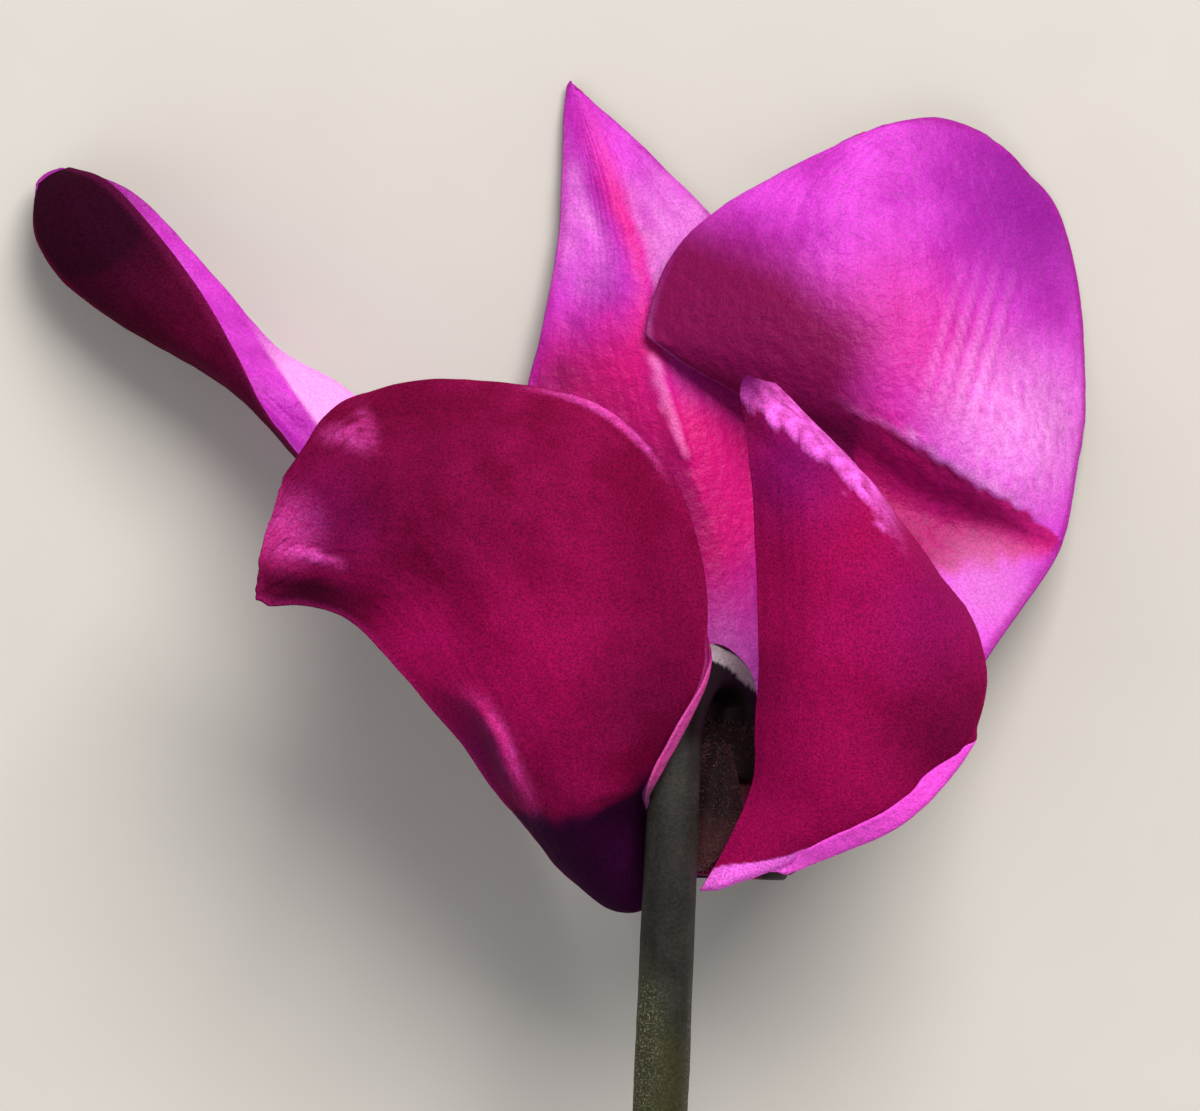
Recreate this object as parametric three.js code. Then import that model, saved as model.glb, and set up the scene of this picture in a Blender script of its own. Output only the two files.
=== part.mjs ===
// A single cyclamen flower, picked and laid on a table with the side that faced the viewer up.
//
// The flower nods: its stalk rises, hooks over and enters the calyx from above. The calyx holds a short
// corolla tube whose mouth faces along -Y, and from the rim of that mouth five broad petals turn back
// through a half circle and stand up past the tube, so that their inner faces end up on the outside.
//
// Millimetres, +Z up from the table, +Y along the flower towards the petal tips. Everything is drawn
// about the foot of the flower, the point just below the middle of the corolla's mouth, and then moved as
// a whole, so that the origin lies on the table under the middle of the flower.

import * as THREE from "three";

// Driving sizes
const STALK_RADIUS = 1.7;
const RIM_RADIUS = 3.9;
const TUBE_WALL = 0.5;
const MOUTH_HEIGHT = 0.9;
const TUBE_TOP = 7.9;
const PETAL_THICKNESS = 0.55;
const MARGIN_THICKNESS = 0.3;
const SEPAL_THICKNESS = 0.35;
const SEPAL_MARGIN_THICKNESS = 0.2;

// The tube leans a little to the right of the stalk.
const TUBE_LEAN = THREE.MathUtils.degToRad(-4.8);
// Azimuths of the gaps between the petals, from the one that the stalk fills to the right and around.
const GAP_AZIMUTHS = [-12, 59, 137, 211, 273].map(THREE.MathUtils.degToRad);
// A sepal lies over each gap. They aren't all the same length, so their tips end at these heights.
const SEPAL_TIP_HEIGHTS = [1, 2.1, 1.4, 1.7, 1.2];
// A stamen stands in front of the middle of a petal, half a petal on from the gap beside it.
const HALF_A_PETAL = THREE.MathUtils.degToRad(36);
// The anthers lean in on the style, with their tips this high above the foot and this far from the axis.
const ANTHER_LEAN = THREE.MathUtils.degToRad(12);
const ANTHER_TIP = { height: 1.1, radius: 0.8 };
const ANTHER_FLATNESS = 0.7;
// Where the foot of the flower comes to lie, measured from the origin on the table.
const FOOT_ON_TABLE = new THREE.Vector3(9.8, 17.6, 14.2);

// Fineness of the solids
const PETAL_STEPS_ALONG = 24;
const PETAL_STEPS_ACROSS = 12;
const SEPAL_STEPS_ALONG = 8;
const SEPAL_STEPS_ACROSS = 4;
const STALK_STEPS = 60;
const STALK_SIDES = 12;
const TUBE_SIDES = 20;
const PISTIL_SIDES = 10;
const STAMEN_SIDES = 8;

// Each petal is drawn by sections, from the rim of the mouth to its tip. A section has five points, from
// the left margin over the midrib to the right margin, as the petal's inner face is seen, which is the
// face that the reflexed petal turns outwards.
const PETALS = {
  petal_front_left: [
    [[-4.4, 0.6, 1], [-4, 0.6, 2], [-3.5, 0.6, 2.8], [-2.9, 0.6, 3.4], [-2.2, 0.6, 3.9]],
    [[-6.6, -1, 1.4], [-6.2, -1.4, 2.8], [-5.4, -1.5, 3.8], [-4.6, -1.3, 4.2], [-3.7, -1, 4.4]],
    [[-9.4, 0.9, 3], [-8.8, 1, 5.2], [-7.6, 1.2, 6.4], [-5.9, 1.3, 6.2], [-4.3, 1.4, 4.8]],
    [[-11, 2.7, 4.5], [-10.1, 3, 7.3], [-8.6, 3.5, 9], [-6.5, 3.9, 8], [-4.2, 4.1, 5]],
    [[-11.7, 3.6, 5.2], [-10.6, 4.1, 8.2], [-8.8, 4.9, 10.1], [-6.6, 5.5, 10.2], [-4.8, 5.5, 7.8]],
    [[-12.4, 4.6, 5.8], [-11, 5.3, 9], [-8.9, 6.3, 11], [-6.2, 7, 11.4], [-4.4, 7.1, 9.7]],
    [[-15.8, 9, 8], [-13.5, 10.3, 11.3], [-10, 12.3, 13.4], [-5.3, 14, 12.8], [-0.9, 14.6, 10.6]],
    [[-19.2, 13, 9.5], [-16.8, 15.6, 12.4], [-12.8, 19, 14.4], [-7, 22.2, 13.4], [-1.9, 23.6, 10.2]],
    [[-22, 16.2, 10.6], [-19.6, 19.2, 13], [-16.5, 23.2, 14.3], [-12, 27.4, 12.9], [-7, 29.6, 9.4]],
    [[-24.8, 17.2, 11.3], [-23, 20, 12.8], [-20.8, 23.6, 13], [-18.3, 27.8, 11.4], [-15.8, 31.4, 8.6]],
    [[-27, 17.4, 11.6], [-26.2, 19.8, 12.2], [-25.3, 22.4, 11.8], [-24.2, 26, 10.5], [-22.8, 29.9, 8.4]],
    [[-28.5, 17.6, 11.6], [-28.3, 19, 11.6], [-28, 20.5, 11.3], [-27.4, 22.7, 10.8], [-26.6, 25.4, 9.8]],
  ],
  petal_front_right: [
    [[-0.4, 0.6, 4.4], [0.6, 0.6, 4.4], [1.6, 0.7, 4.1], [2.5, 0.8, 3.7], [3.1, 0.9, 3.2]],
    [[-0.9, -0.1, 5.6], [0.2, 0.1, 6.1], [1.3, 0.5, 6.4], [2.3, 0.8, 6.5], [3.1, 1.1, 6.4]],
    [[0.6, 2.5, 6.2], [2, 2.3, 7.2], [3.3, 2.1, 7.8], [4.7, 2, 8], [5.9, 2.1, 7.9]],
    [[2, 5.6, 7], [3.9, 4.9, 8.8], [5.8, 4.2, 9.8], [7.7, 3.6, 9.6], [9.2, 3.4, 8.9]],
    [[2.5, 9, 8], [4.9, 8.3, 10.4], [7.6, 7, 11.6], [10.2, 5.5, 11], [12.1, 4.9, 9.7]],
    [[2.6, 13.5, 9], [5.7, 12.8, 11.9], [9.2, 11, 12.8], [12.1, 8.5, 11.7], [14.2, 6.8, 10]],
    [[2.5, 18.5, 9.6], [6, 17.6, 12.6], [9.9, 15.2, 13.4], [13.2, 12, 12.3], [15.7, 9.2, 10.2]],
    [[2.3, 23.5, 9.8], [5.8, 22.6, 12.6], [10.7, 18.9, 13], [15.2, 13.4, 10.6], [16.6, 12.8, 9.4]],
    [[1.8, 28.3, 9.2], [5.2, 26.2, 11.4], [10.3, 22.2, 11.8], [14.2, 17.4, 9.8], [16.2, 15.2, 8.2]],
    [[1.6, 31.2, 7.4], [5, 28.5, 9.4], [9.6, 24.4, 9.8], [13.6, 19.4, 8.4], [15.6, 16.8, 6.8]],
    [[3.6, 31.2, 4.6], [6.6, 28.2, 6.2], [10.4, 24, 6.6], [13.4, 19.8, 6], [14.8, 17.4, 5.2]],
  ],
  petal_right: [
    [[4.4, 0.8, 1.2], [4.6, 0.8, 0.2], [4.5, 0.8, -0.9], [4.3, 0.8, -1.7], [3.9, 0.8, -2.5]],
    [[6, 2, 1.5], [6.4, 1.9, 0.3], [6.4, 1.9, -1.1], [6.1, 1.8, -2.4], [5.5, 1.8, -3.7]],
    [[9.6, 5, 1], [9.2, 5, -0.8], [8.5, 5, -2.5], [7.4, 5.2, -4.1], [6, 5.5, -5.6]],
    [[13.8, 9.6, -0.8], [12.4, 10, -2.4], [10.5, 10.6, -3.8], [8.4, 11.2, -5.2], [5.8, 12, -6.8]],
    [[17.6, 14.9, -4.8], [14.8, 16, -4.8], [12, 17.2, -5.2], [8.8, 18.6, -6], [5.2, 20, -7.4]],
    [[21.3, 19.9, -8.6], [17.6, 21.8, -8.2], [13.5, 23.2, -7.8], [9, 25.8, -7.6], [4.4, 28.6, -8.8]],
    [[22.6, 23, -9.8], [18.4, 24.4, -6.4], [13.9, 26.4, -5.4], [8, 29.6, -5.6], [-3, 33.6, -9.2]],
    [[23.7, 29.5, -12.4], [19.4, 31, -7.8], [13.4, 32.4, -5], [5.8, 34.4, -5.4], [-4.2, 35.3, -9.4]],
    [[23.6, 36.5, -13.8], [19, 38, -9.6], [13, 39.2, -6.4], [5.5, 40.2, -6.4], [-2.4, 40, -9.6]],
    [[21.8, 43.2, -13.9], [17.8, 43.9, -11], [12.6, 44.6, -8.6], [7, 44.5, -8], [2, 43.5, -9.2]],
    [[17.4, 47.4, -12.8], [15.8, 48, -11.6], [14, 48.4, -10.6], [11.6, 48.1, -9.9], [9, 47.2, -9.4]],
  ],
  petal_back: [
    [[2.2, 0.9, -3.9], [1.3, 0.9, -4.3], [0.2, 0.9, -4.5], [-0.7, 0.9, -4.4], [-1.5, 0.9, -4.2]],
    [[3.6, 1, -6.1], [2.2, 0.7, -6.7], [0.5, 0.7, -7], [-1.1, 0.7, -6.9], [-2.5, 0.9, -6.5]],
    [[5, 6, -9.6], [3, 5.6, -9.4], [0.6, 5.4, -9.2], [-2, 5.6, -9.3], [-4.4, 6, -9.4]],
    [[6, 14, -12], [3.2, 14, -11], [0.2, 13.8, -10], [-3.4, 14.2, -10.6], [-7, 14.6, -11.2]],
    [[6.8, 22, -12.8], [3.2, 22.2, -11.8], [-0.9, 22.4, -10.2], [-5.2, 22.8, -11], [-10, 23.4, -11.6]],
    [[6.6, 29, -13.2], [2.6, 28.8, -12], [-1.7, 28.4, -10.2], [-6.4, 28.8, -11], [-11.8, 29.8, -11.8]],
    [[5.2, 34.5, -13.4], [1.6, 34.6, -12.4], [-3.9, 34.6, -10.6], [-7.4, 34.6, -11], [-10.8, 35, -12]],
    [[2.2, 39.4, -13.2], [-1, 39.6, -12.6], [-5, 39.8, -11.2], [-7.4, 40, -11.6], [-9.9, 40.4, -12.4]],
    [[-1.6, 43.9, -13.2], [-3.8, 44.5, -12.8], [-6.4, 45.1, -12], [-8, 45.3, -12.4], [-9.6, 45.5, -12.8]],
    [[-8.6, 50.5, -13.4], [-8.8, 50.7, -13.4], [-9, 50.9, -13.4], [-9.2, 50.8, -13.4], [-9.4, 50.6, -13.5]],
  ],
  petal_left: [
    [[-2.9, 0.9, -3.4], [-3.6, 0.9, -2.7], [-4.1, 0.9, -1.9], [-4.4, 0.9, -1.1], [-4.5, 0.9, -0.4]],
    [[-4.4, 1, -5], [-5.3, 0.9, -4], [-6, 0.8, -2.8], [-6.5, 0.8, -1.7], [-6.7, 0.9, -0.6]],
    [[-8.2, 6.5, -8.2], [-9.4, 6, -7], [-10.6, 5.6, -5.2], [-11, 5.8, -3.2], [-10.6, 6.4, -1.4]],
    [[-13.4, 16, -11], [-15, 14.8, -9.6], [-16.6, 14, -7.4], [-16.6, 14.4, -4.8], [-15.6, 15.6, -2.4]],
    [[-18.4, 26, -12.4], [-20.8, 24.4, -10.8], [-22.6, 23.4, -8.6], [-23.2, 23.2, -5.8], [-23, 23.6, -3.4]],
    [[-23.2, 31.2, -13.2], [-25.6, 30, -9.4], [-27.6, 29.2, -8.8], [-28, 28.8, -6.2], [-27.7, 28.9, -4]],
    [[-27.8, 34, -13.7], [-29.4, 33, -10.4], [-31.2, 31.9, -8.4], [-31, 31.9, -5.4], [-29.8, 32.6, -3.6]],
    [[-31.6, 38.2, -13.9], [-35, 36.3, -11.2], [-37, 35, -8.6], [-35.7, 35.6, -5.8], [-32.6, 37.4, -4.6]],
    [[-36, 42.9, -13.9], [-39.4, 40.3, -11.8], [-41.1, 38, -9.4], [-39.3, 39.9, -7.2], [-36.2, 42, -6.6]],
    [[-38.6, 44.6, -13.4], [-41.6, 42.7, -12], [-43, 41, -10.4], [-41.2, 42.8, -9.2], [-38.6, 44.4, -9]],
    [[-41.6, 45.3, -13], [-42.6, 44.8, -12.4], [-43.2, 44.2, -11.8], [-42.2, 44.9, -11.4], [-41, 45.3, -11.4]],
  ],
};

// The middle of the stalk, from its cut end on the table to the hook above the calyx.
const STALK_ROUTE = [
  [-7.5, -86, -12.4], [-6.9, -70, -12.2], [-5.6, -50, -8.5], [-4.3, -30, -1.5], [-3.5, -14, 3.8],
  [-3, -2, 6.9], [-2.7, 5, 7.3], [-2.5, 9.6, 6.9], [-1.6, 12.6, 5.4], [-0.4, 13.5, 3.3],
  [0.6, 12.9, 1.2], [0.95, 11.7, 0.2], [0.9, 10.8, 0],
];

const petalColour = { color: 0xc8188a, roughness: 0.55, metalness: 0 };
const tubeColour = { color: 0x8c1050, roughness: 0.55, metalness: 0 };
const calyxColour = { color: 0x3a1b1e, roughness: 0.7, metalness: 0 };
const stalkColour = { color: 0x5a5348, roughness: 0.6, metalness: 0 };
const antherColour = { color: 0xb08a3c, roughness: 0.7, metalness: 0 };
const pistilColour = { color: 0xa63a6e, roughness: 0.6, metalness: 0 };

function namedMesh(name, geometry, finish) {
  const mesh = new THREE.Mesh(geometry, new THREE.MeshStandardMaterial(finish));
  mesh.name = name;
  return mesh;
}

// A smooth line through points given as [x, y, z].
function lineThrough(points) {
  const vectors = points.map((point) => new THREE.Vector3(...point));
  return new THREE.CatmullRomCurve3(vectors, false, "catmullrom", 0.5);
}

// The middle surface of a blade, as rows of points that run from its left margin to its right one. The
// blade follows its sections smoothly, first along and then across.
function bladeRows(sections, stepsAlong, stepsAcross) {
  const lines = sections[0].map((_, column) => lineThrough(sections.map((section) => section[column])));
  const rows = [];
  for (let i = 0; i <= stepsAlong; i++) {
    const across = lineThrough(lines.map((line) => line.getPoint(i / stepsAlong).toArray()));
    rows.push(across.getPoints(stepsAcross));
  }
  return rows;
}

// The unit normal of the surface at row i, column j.
function normalAt(rows, i, j) {
  const lastRow = rows.length - 1;
  const lastColumn = rows[0].length - 1;
  const along = rows[Math.min(i + 1, lastRow)][j].clone().sub(rows[Math.max(i - 1, 0)][j]);
  const across = rows[i][Math.min(j + 1, lastColumn)].clone().sub(rows[i][Math.max(j - 1, 0)]);
  return across.cross(along).normalize();
}

// A closed thin solid around a surface given as rows of points, thinner at its margins.
function thinSolid(rows, thickness, marginThickness) {
  const columns = rows[0].length;
  const lastRow = rows.length - 1;
  const lastColumn = columns - 1;
  const layerSize = rows.length * columns;
  const positions = [];
  for (const side of [1, -1]) {
    rows.forEach((row, i) => {
      row.forEach((point, j) => {
        const atMargin = i === lastRow || j === 0 || j === lastColumn;
        const offset = (side * (atMargin ? marginThickness : thickness)) / 2;
        positions.push(...point.clone().addScaledVector(normalAt(rows, i, j), offset).toArray());
      });
    });
  }
  const indices = [];
  const quad = (a, b, c, d) => indices.push(a, b, c, a, c, d);
  const upper = (i, j) => i * columns + j;
  const lower = (i, j) => layerSize + i * columns + j;
  for (let i = 0; i < lastRow; i++) {
    for (let j = 0; j < lastColumn; j++) {
      quad(upper(i, j), upper(i, j + 1), upper(i + 1, j + 1), upper(i + 1, j));
      quad(lower(i, j), lower(i + 1, j), lower(i + 1, j + 1), lower(i, j + 1));
    }
    quad(upper(i, 0), upper(i + 1, 0), lower(i + 1, 0), lower(i, 0));
    quad(upper(i, lastColumn), lower(i, lastColumn), lower(i + 1, lastColumn), upper(i + 1, lastColumn));
  }
  for (let j = 0; j < lastColumn; j++) {
    quad(upper(0, j), lower(0, j), lower(0, j + 1), upper(0, j + 1));
    quad(upper(lastRow, j), upper(lastRow, j + 1), lower(lastRow, j + 1), lower(lastRow, j));
  }
  const geometry = new THREE.BufferGeometry();
  geometry.setAttribute("position", new THREE.Float32BufferAttribute(positions, 3));
  geometry.setIndex(indices);
  return geometry;
}

function makePetal(name, sections) {
  const rows = bladeRows(sections, PETAL_STEPS_ALONG, PETAL_STEPS_ACROSS);
  return namedMesh(name, thinSolid(rows, PETAL_THICKNESS, MARGIN_THICKNESS), petalColour);
}

// A solid turned about the Y axis from [radius, height] points.
function turned(profile, sides) {
  return new THREE.LatheGeometry(profile.map(([radius, height]) => new THREE.Vector2(radius, height)), sides);
}

// The corolla's tube: a small urn, open at the mouth and closed against the receptacle.
function makeTube() {
  const outside = [
    [RIM_RADIUS, MOUTH_HEIGHT], [4.2, 1.8], [4.3, 3.2], [4.0, 5.0],
    [3.2, 6.7], [1.8, TUBE_TOP - 0.2], [0, TUBE_TOP],
  ];
  const inside = outside.map(([radius, height]) => [
    Math.max(radius - TUBE_WALL, 0),
    height === MOUTH_HEIGHT ? height : height - TUBE_WALL * (height / TUBE_TOP),
  ]);
  return namedMesh("corolla_tube", turned([...inside.reverse(), ...outside], TUBE_SIDES), tubeColour);
}

// The cup that the sepals grow from and the stalk ends in.
function makeReceptacle() {
  const profile = [
    [0, 8.3], [2.2, 8.05], [3.55, 6.9], [4.0, 6.9], [3.7, 8.0], [2.6, 9.4], [1.75, 10.2], [0, 10.3],
  ];
  return namedMesh("receptacle", turned(profile, TUBE_SIDES), calyxColour);
}

// A sepal is a small pointed leaf that lies along the tube, with its tip towards the mouth.
function makeSepal(number, azimuth, tipHeight) {
  const stations = [
    { height: 6.6, radius: 4.35, halfAngle: 0.36 },
    { height: 5.0, radius: 4.75, halfAngle: 0.46 },
    { height: 3.8, radius: 4.95, halfAngle: 0.4 },
    { height: tipHeight + 1.1, radius: 4.95, halfAngle: 0.24 },
    { height: tipHeight, radius: 5.0, halfAngle: 0.04 },
  ];
  // From right to left, because the sections come down the tube and the outer face is to stay outside.
  const sections = stations.map(({ height, radius, halfAngle }) =>
    [1, 0.5, 0, -0.5, -1].map((side) => {
      const angle = side * halfAngle;
      return [radius * Math.sin(angle), height, radius * Math.cos(angle)];
    }),
  );
  const rows = bladeRows(sections, SEPAL_STEPS_ALONG, SEPAL_STEPS_ACROSS);
  const blade = thinSolid(rows, SEPAL_THICKNESS, SEPAL_MARGIN_THICKNESS);
  const sepal = namedMesh(`sepal_${number}`, blade, calyxColour);
  sepal.rotation.y = azimuth;
  return sepal;
}

// A stamen: a long pointed anther that leans on the style, on a short filament from the foot of the tube.
function makeStamen(number, azimuth) {
  const profile = [
    [0, 0], [0.22, 0.5], [0.52, 1.6], [0.58, 3.0], [0.42, 4.1], [0.2, 4.6], [0.2, 5.3], [0, 5.4],
  ];
  const geometry = turned(profile, STAMEN_SIDES);
  geometry.scale(1, 1, ANTHER_FLATNESS);
  geometry.rotateX(ANTHER_LEAN);
  geometry.translate(0, ANTHER_TIP.height, ANTHER_TIP.radius);
  const stamen = namedMesh(`stamen_${number}`, geometry, antherColour);
  stamen.rotation.y = azimuth;
  return stamen;
}

// The pistil: an egg-shaped ovary at the foot of the tube and a thin style out to the mouth.
function makePistil() {
  const profile = [
    [0, 0.2], [0.28, 0.3], [0.3, 0.6], [0.2, 0.9], [0.2, 5],
    [0.45, 5.4], [0.95, 6.1], [0.85, 6.75], [0, 7],
  ];
  return namedMesh("pistil", turned(profile, PISTIL_SIDES), pistilColour);
}

function makeStalk() {
  const corners = [];
  for (let i = 0; i < STALK_SIDES; i++) {
    const angle = (2 * Math.PI * i) / STALK_SIDES;
    corners.push(new THREE.Vector2(STALK_RADIUS * Math.cos(angle), STALK_RADIUS * Math.sin(angle)));
  }
  const geometry = new THREE.ExtrudeGeometry(new THREE.Shape(corners), {
    steps: STALK_STEPS,
    extrudePath: lineThrough(STALK_ROUTE),
    bevelEnabled: false,
  });
  return namedMesh("flower_stalk", geometry, stalkColour);
}

const heart = new THREE.Group();
heart.rotation.z = TUBE_LEAN;
heart.add(makeTube(), makeReceptacle(), makePistil());
GAP_AZIMUTHS.forEach((azimuth, i) => {
  heart.add(makeSepal(i + 1, azimuth, SEPAL_TIP_HEIGHTS[i]), makeStamen(i + 1, azimuth + HALF_A_PETAL));
});

const flower = new THREE.Group();
flower.add(heart, makeStalk());
for (const [name, sections] of Object.entries(PETALS)) {
  flower.add(makePetal(name, sections));
}
flower.position.copy(FOOT_ON_TABLE);

const part = new THREE.Group();
part.add(flower);

export default part;
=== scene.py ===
# %% [markdown]
# A picked cyclamen flower
#
# This lesson gives a cyclamen flower its looks. The flower is on the table already as a plain solid
# model, with every piece in its place and at its real size. Here each piece gets a fine surface and the
# finish of the living thing: velvety petals, a hairy calyx, a fleshy stalk. The model is loaded first.
# Nothing that follows may make the flower bigger.

import math
from types import SimpleNamespace

import bpy
import numpy as np
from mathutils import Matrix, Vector, noise


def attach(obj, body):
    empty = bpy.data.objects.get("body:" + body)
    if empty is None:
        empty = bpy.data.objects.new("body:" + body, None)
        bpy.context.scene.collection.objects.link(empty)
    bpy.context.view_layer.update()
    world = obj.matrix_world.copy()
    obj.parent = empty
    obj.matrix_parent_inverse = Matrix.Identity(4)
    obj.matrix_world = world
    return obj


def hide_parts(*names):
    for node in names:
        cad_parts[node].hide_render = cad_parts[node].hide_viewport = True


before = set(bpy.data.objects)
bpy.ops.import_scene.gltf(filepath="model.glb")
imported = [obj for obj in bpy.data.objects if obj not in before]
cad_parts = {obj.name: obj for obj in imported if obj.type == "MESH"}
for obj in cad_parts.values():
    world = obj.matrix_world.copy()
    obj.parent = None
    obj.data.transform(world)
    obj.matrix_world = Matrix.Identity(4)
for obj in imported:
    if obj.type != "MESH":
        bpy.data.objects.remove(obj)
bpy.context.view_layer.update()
print("pieces in the plain model:", len(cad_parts))

# %% [markdown]
# The camera
#
# The flower is drawn in millimetres about its foot, the point just below the middle of the corolla's
# mouth. In the photograph the foot lies at one known pixel, and 16 pixels are a millimetre there. The
# photograph shows the flower upright, and here it lies down, so the camera looks straight down on it. A
# long lens from far away keeps the perspective as flat as it is in a close-up of a small thing.

# %% Camera
MM = 0.001
FOOT = np.array([9.8, 17.6, 14.2])
PHOTO_WIDTH = 1200
PHOTO_HEIGHT = 1111
FOOT_PIXEL = (715, 885)
PIXELS_PER_MM = 16
CAMERA_ABOVE_FOOT = 600
SENSOR_WIDTH = 36


def on_table(points):
    """Drawn points in mm about the foot, as places on the table in metres."""
    return (np.asarray(points, float) + FOOT) * MM


camera_data = bpy.data.cameras.new("camera")
camera_data.sensor_width = SENSOR_WIDTH
camera_data.lens = SENSOR_WIDTH * CAMERA_ABOVE_FOOT / (PHOTO_WIDTH / PIXELS_PER_MM)
camera_data.clip_start = 0.05
camera = bpy.data.objects.new("camera", camera_data)
camera.location = on_table([
    (PHOTO_WIDTH / 2 - FOOT_PIXEL[0]) / PIXELS_PER_MM,
    (FOOT_PIXEL[1] - PHOTO_HEIGHT / 2) / PIXELS_PER_MM,
    CAMERA_ABOVE_FOOT,
])
bpy.context.scene.collection.objects.link(camera)
bpy.context.scene.camera = camera
print("lens in mm:", camera_data.lens, "camera at:", [round(place, 4) for place in camera.location])

# %% [markdown]
# Colours and nodes
#
# A colour picked on a screen is an sRGB value, but a renderer sums light, so it needs linear
# values. One function turns the first into the second. Materials are made of nodes, and one more function
# adds a node with its settings and its links, so that a material below reads as a list of what it is made
# of.

# %% Colour and node helpers
def linear(hex_colour):
    """An sRGB colour such as "#a01050" as linear red, green, blue and alpha."""
    channels = [int(hex_colour[i:i + 2], 16) / 255 for i in (1, 3, 5)]
    return [c / 12.92 if c <= 0.04045 else ((c + 0.055) / 1.055) ** 2.4 for c in channels] + [1.0]


def add(tree, kind, inputs=None, **settings):
    """Adds a node. inputs gives each named or numbered input a value, or the output that feeds it."""
    made = tree.nodes.new(kind)
    for key, value in settings.items():
        setattr(made, key, value)
    for key, value in (inputs or {}).items():
        if isinstance(value, bpy.types.NodeSocket):
            tree.links.new(value, made.inputs[key])
        else:
            made.inputs[key].default_value = value
    return made


def new_material(name):
    """An empty material and its node tree."""
    material = bpy.data.materials.new(name)
    material.use_nodes = True
    material.node_tree.nodes.clear()
    return material, material.node_tree


print("the deep crimson of a petal in linear light:", [round(c, 3) for c in linear("#a30f52")])

# %% [markdown]
# The table
#
# The table is a sheet of pale uncoated paper. Its pressed fibres scatter light evenly, so it looks matt
# and mirrors nothing, with clouds in its tone that are only just there. A plane with a bevelled edge
# would do for a product on show, but the edge is never seen here, so a plain large sheet is enough.

# %% Table
TABLE_SIZE = 3.0
PAPER_CLOUD_SIZE = 4

table_mesh = bpy.data.meshes.new("table")
half = TABLE_SIZE / 2
corners = [(-half, -half, 0), (half, -half, 0), (half, half, 0), (-half, half, 0)]
table_mesh.from_pydata(corners, [], [(0, 1, 2, 3)])
table = bpy.data.objects.new("table", table_mesh)
bpy.context.scene.collection.objects.link(table)

paper, tree = new_material("matt_pale_paper")
clouds = add(tree, "ShaderNodeTexNoise", {"Scale": 1 / (PAPER_CLOUD_SIZE * MM), "Detail": 3.0})
two_tones = {0: clouds.outputs[0], 6: linear("#b4b1ab"), 7: linear("#bab7b1")}
tone = add(tree, "ShaderNodeMix", two_tones, data_type="RGBA").outputs[2]
finish = {"Base Color": tone, "Roughness": 0.85, "Specular IOR Level": 0.2}
paper_skin = add(tree, "ShaderNodeBsdfPrincipled", finish)
add(tree, "ShaderNodeOutputMaterial", {"Surface": paper_skin.outputs[0]})
table_mesh.materials.append(paper)
print("table:", TABLE_SIZE, "m across")

# %% [markdown]
# The light
#
# The flower in the photograph is lit softly from the upper right: the petals behind are bright, and the
# two in front, which turn away from the light, stay deep and dark. A sun lamp would draw hard shadows, so
# the key light is a large soft panel on that side. A weaker panel on the other side and a pale world fill
# the shadows, as white walls would.

# %% Lights
PANELS_FACE = [0, 15, 0]


def panel(name, towards, distance, size, watts, colour):
    """A square light panel that faces the flower from the direction given."""
    data = bpy.data.lights.new(name, "AREA")
    data.size = size
    data.energy = watts
    data.color = linear(colour)[:3]
    lamp = bpy.data.objects.new(name, data)
    direction = Vector(towards).normalized()
    lamp.location = Vector(on_table(PANELS_FACE)) + direction * distance
    lamp.rotation_euler = direction.to_track_quat("Z", "Y").to_euler()
    bpy.context.scene.collection.objects.link(lamp)
    print(name, "at", [round(place, 2) for place in lamp.location], "with", watts, "W")


panel("key_light", (0.34, 0.74, 1.0), 0.9, 0.55, 12.8, "#fffaf6")
panel("fill_light", (-0.6, -0.4, 0.9), 1.0, 0.9, 3.0, "#f6f7ff")

world = bpy.data.worlds.new("pale_room")
world.use_nodes = True
world.node_tree.nodes["Background"].inputs["Color"].default_value = linear("#e6e6e6")
world.node_tree.nodes["Background"].inputs["Strength"].default_value = 0.45
bpy.context.scene.world = world
bpy.context.scene.view_settings.view_transform = "Standard"

# %% [markdown]
# Smooth lines
#
# A petal is a thin sheet. It is drawn by a few cross-sections from its base to its tip, and each section
# has five points: left margin, left shoulder, midrib, right shoulder, right margin. Smooth lines run
# through them, first along the petal and then across it. Subdividing a coarse cage would do the same, but
# the lines pass exactly through the drawn points, so the outline stays where it was drawn.

# %% Smooth lines
def smooth_line(points, places):
    """Points on a smooth line through the given points. places run from 0, the first, to 1, the last."""
    points = np.asarray(points, float)
    before_first = 2 * points[0] - points[1]
    after_last = 2 * points[-1] - points[-2]
    held = np.concatenate([[before_first], points, [after_last]])
    along = np.asarray(places) * (len(points) - 1)
    first = np.minimum(along.astype(int), len(points) - 2)
    t = (along - first).reshape((-1,) + (1,) * (points.ndim - 1))
    a, b, c, d = (held[first + k] for k in range(4))
    return b + 0.5 * t * (c - a + t * (2 * a - 5 * b + 4 * c - d + t * (3 * b - a - 3 * c + d)))


def even(steps):
    """Places from 0 to 1, all the same distance apart."""
    return np.linspace(0, 1, steps + 1)


def close_at_ends(steps, how_close=0.8):
    """Places from 0 to 1 that crowd together towards both ends."""
    angles = np.linspace(-1, 1, steps + 1) * how_close * math.pi / 2
    return 0.5 + 0.5 * np.sin(angles) / math.sin(how_close * math.pi / 2)


print("places across a strip of 6 steps:", [round(place, 2) for place in close_at_ends(6)])

# %% [markdown]
# Sheets
#
# The points of a petal are kept as rows and columns, a row for each section and a column for each line
# along the petal. Modifiers don't know which point lies how far from the midrib or the margin, but a
# petal's veins, hems and flushes follow just those distances. So they are measured here, in mm, and kept
# beside the points.

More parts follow.
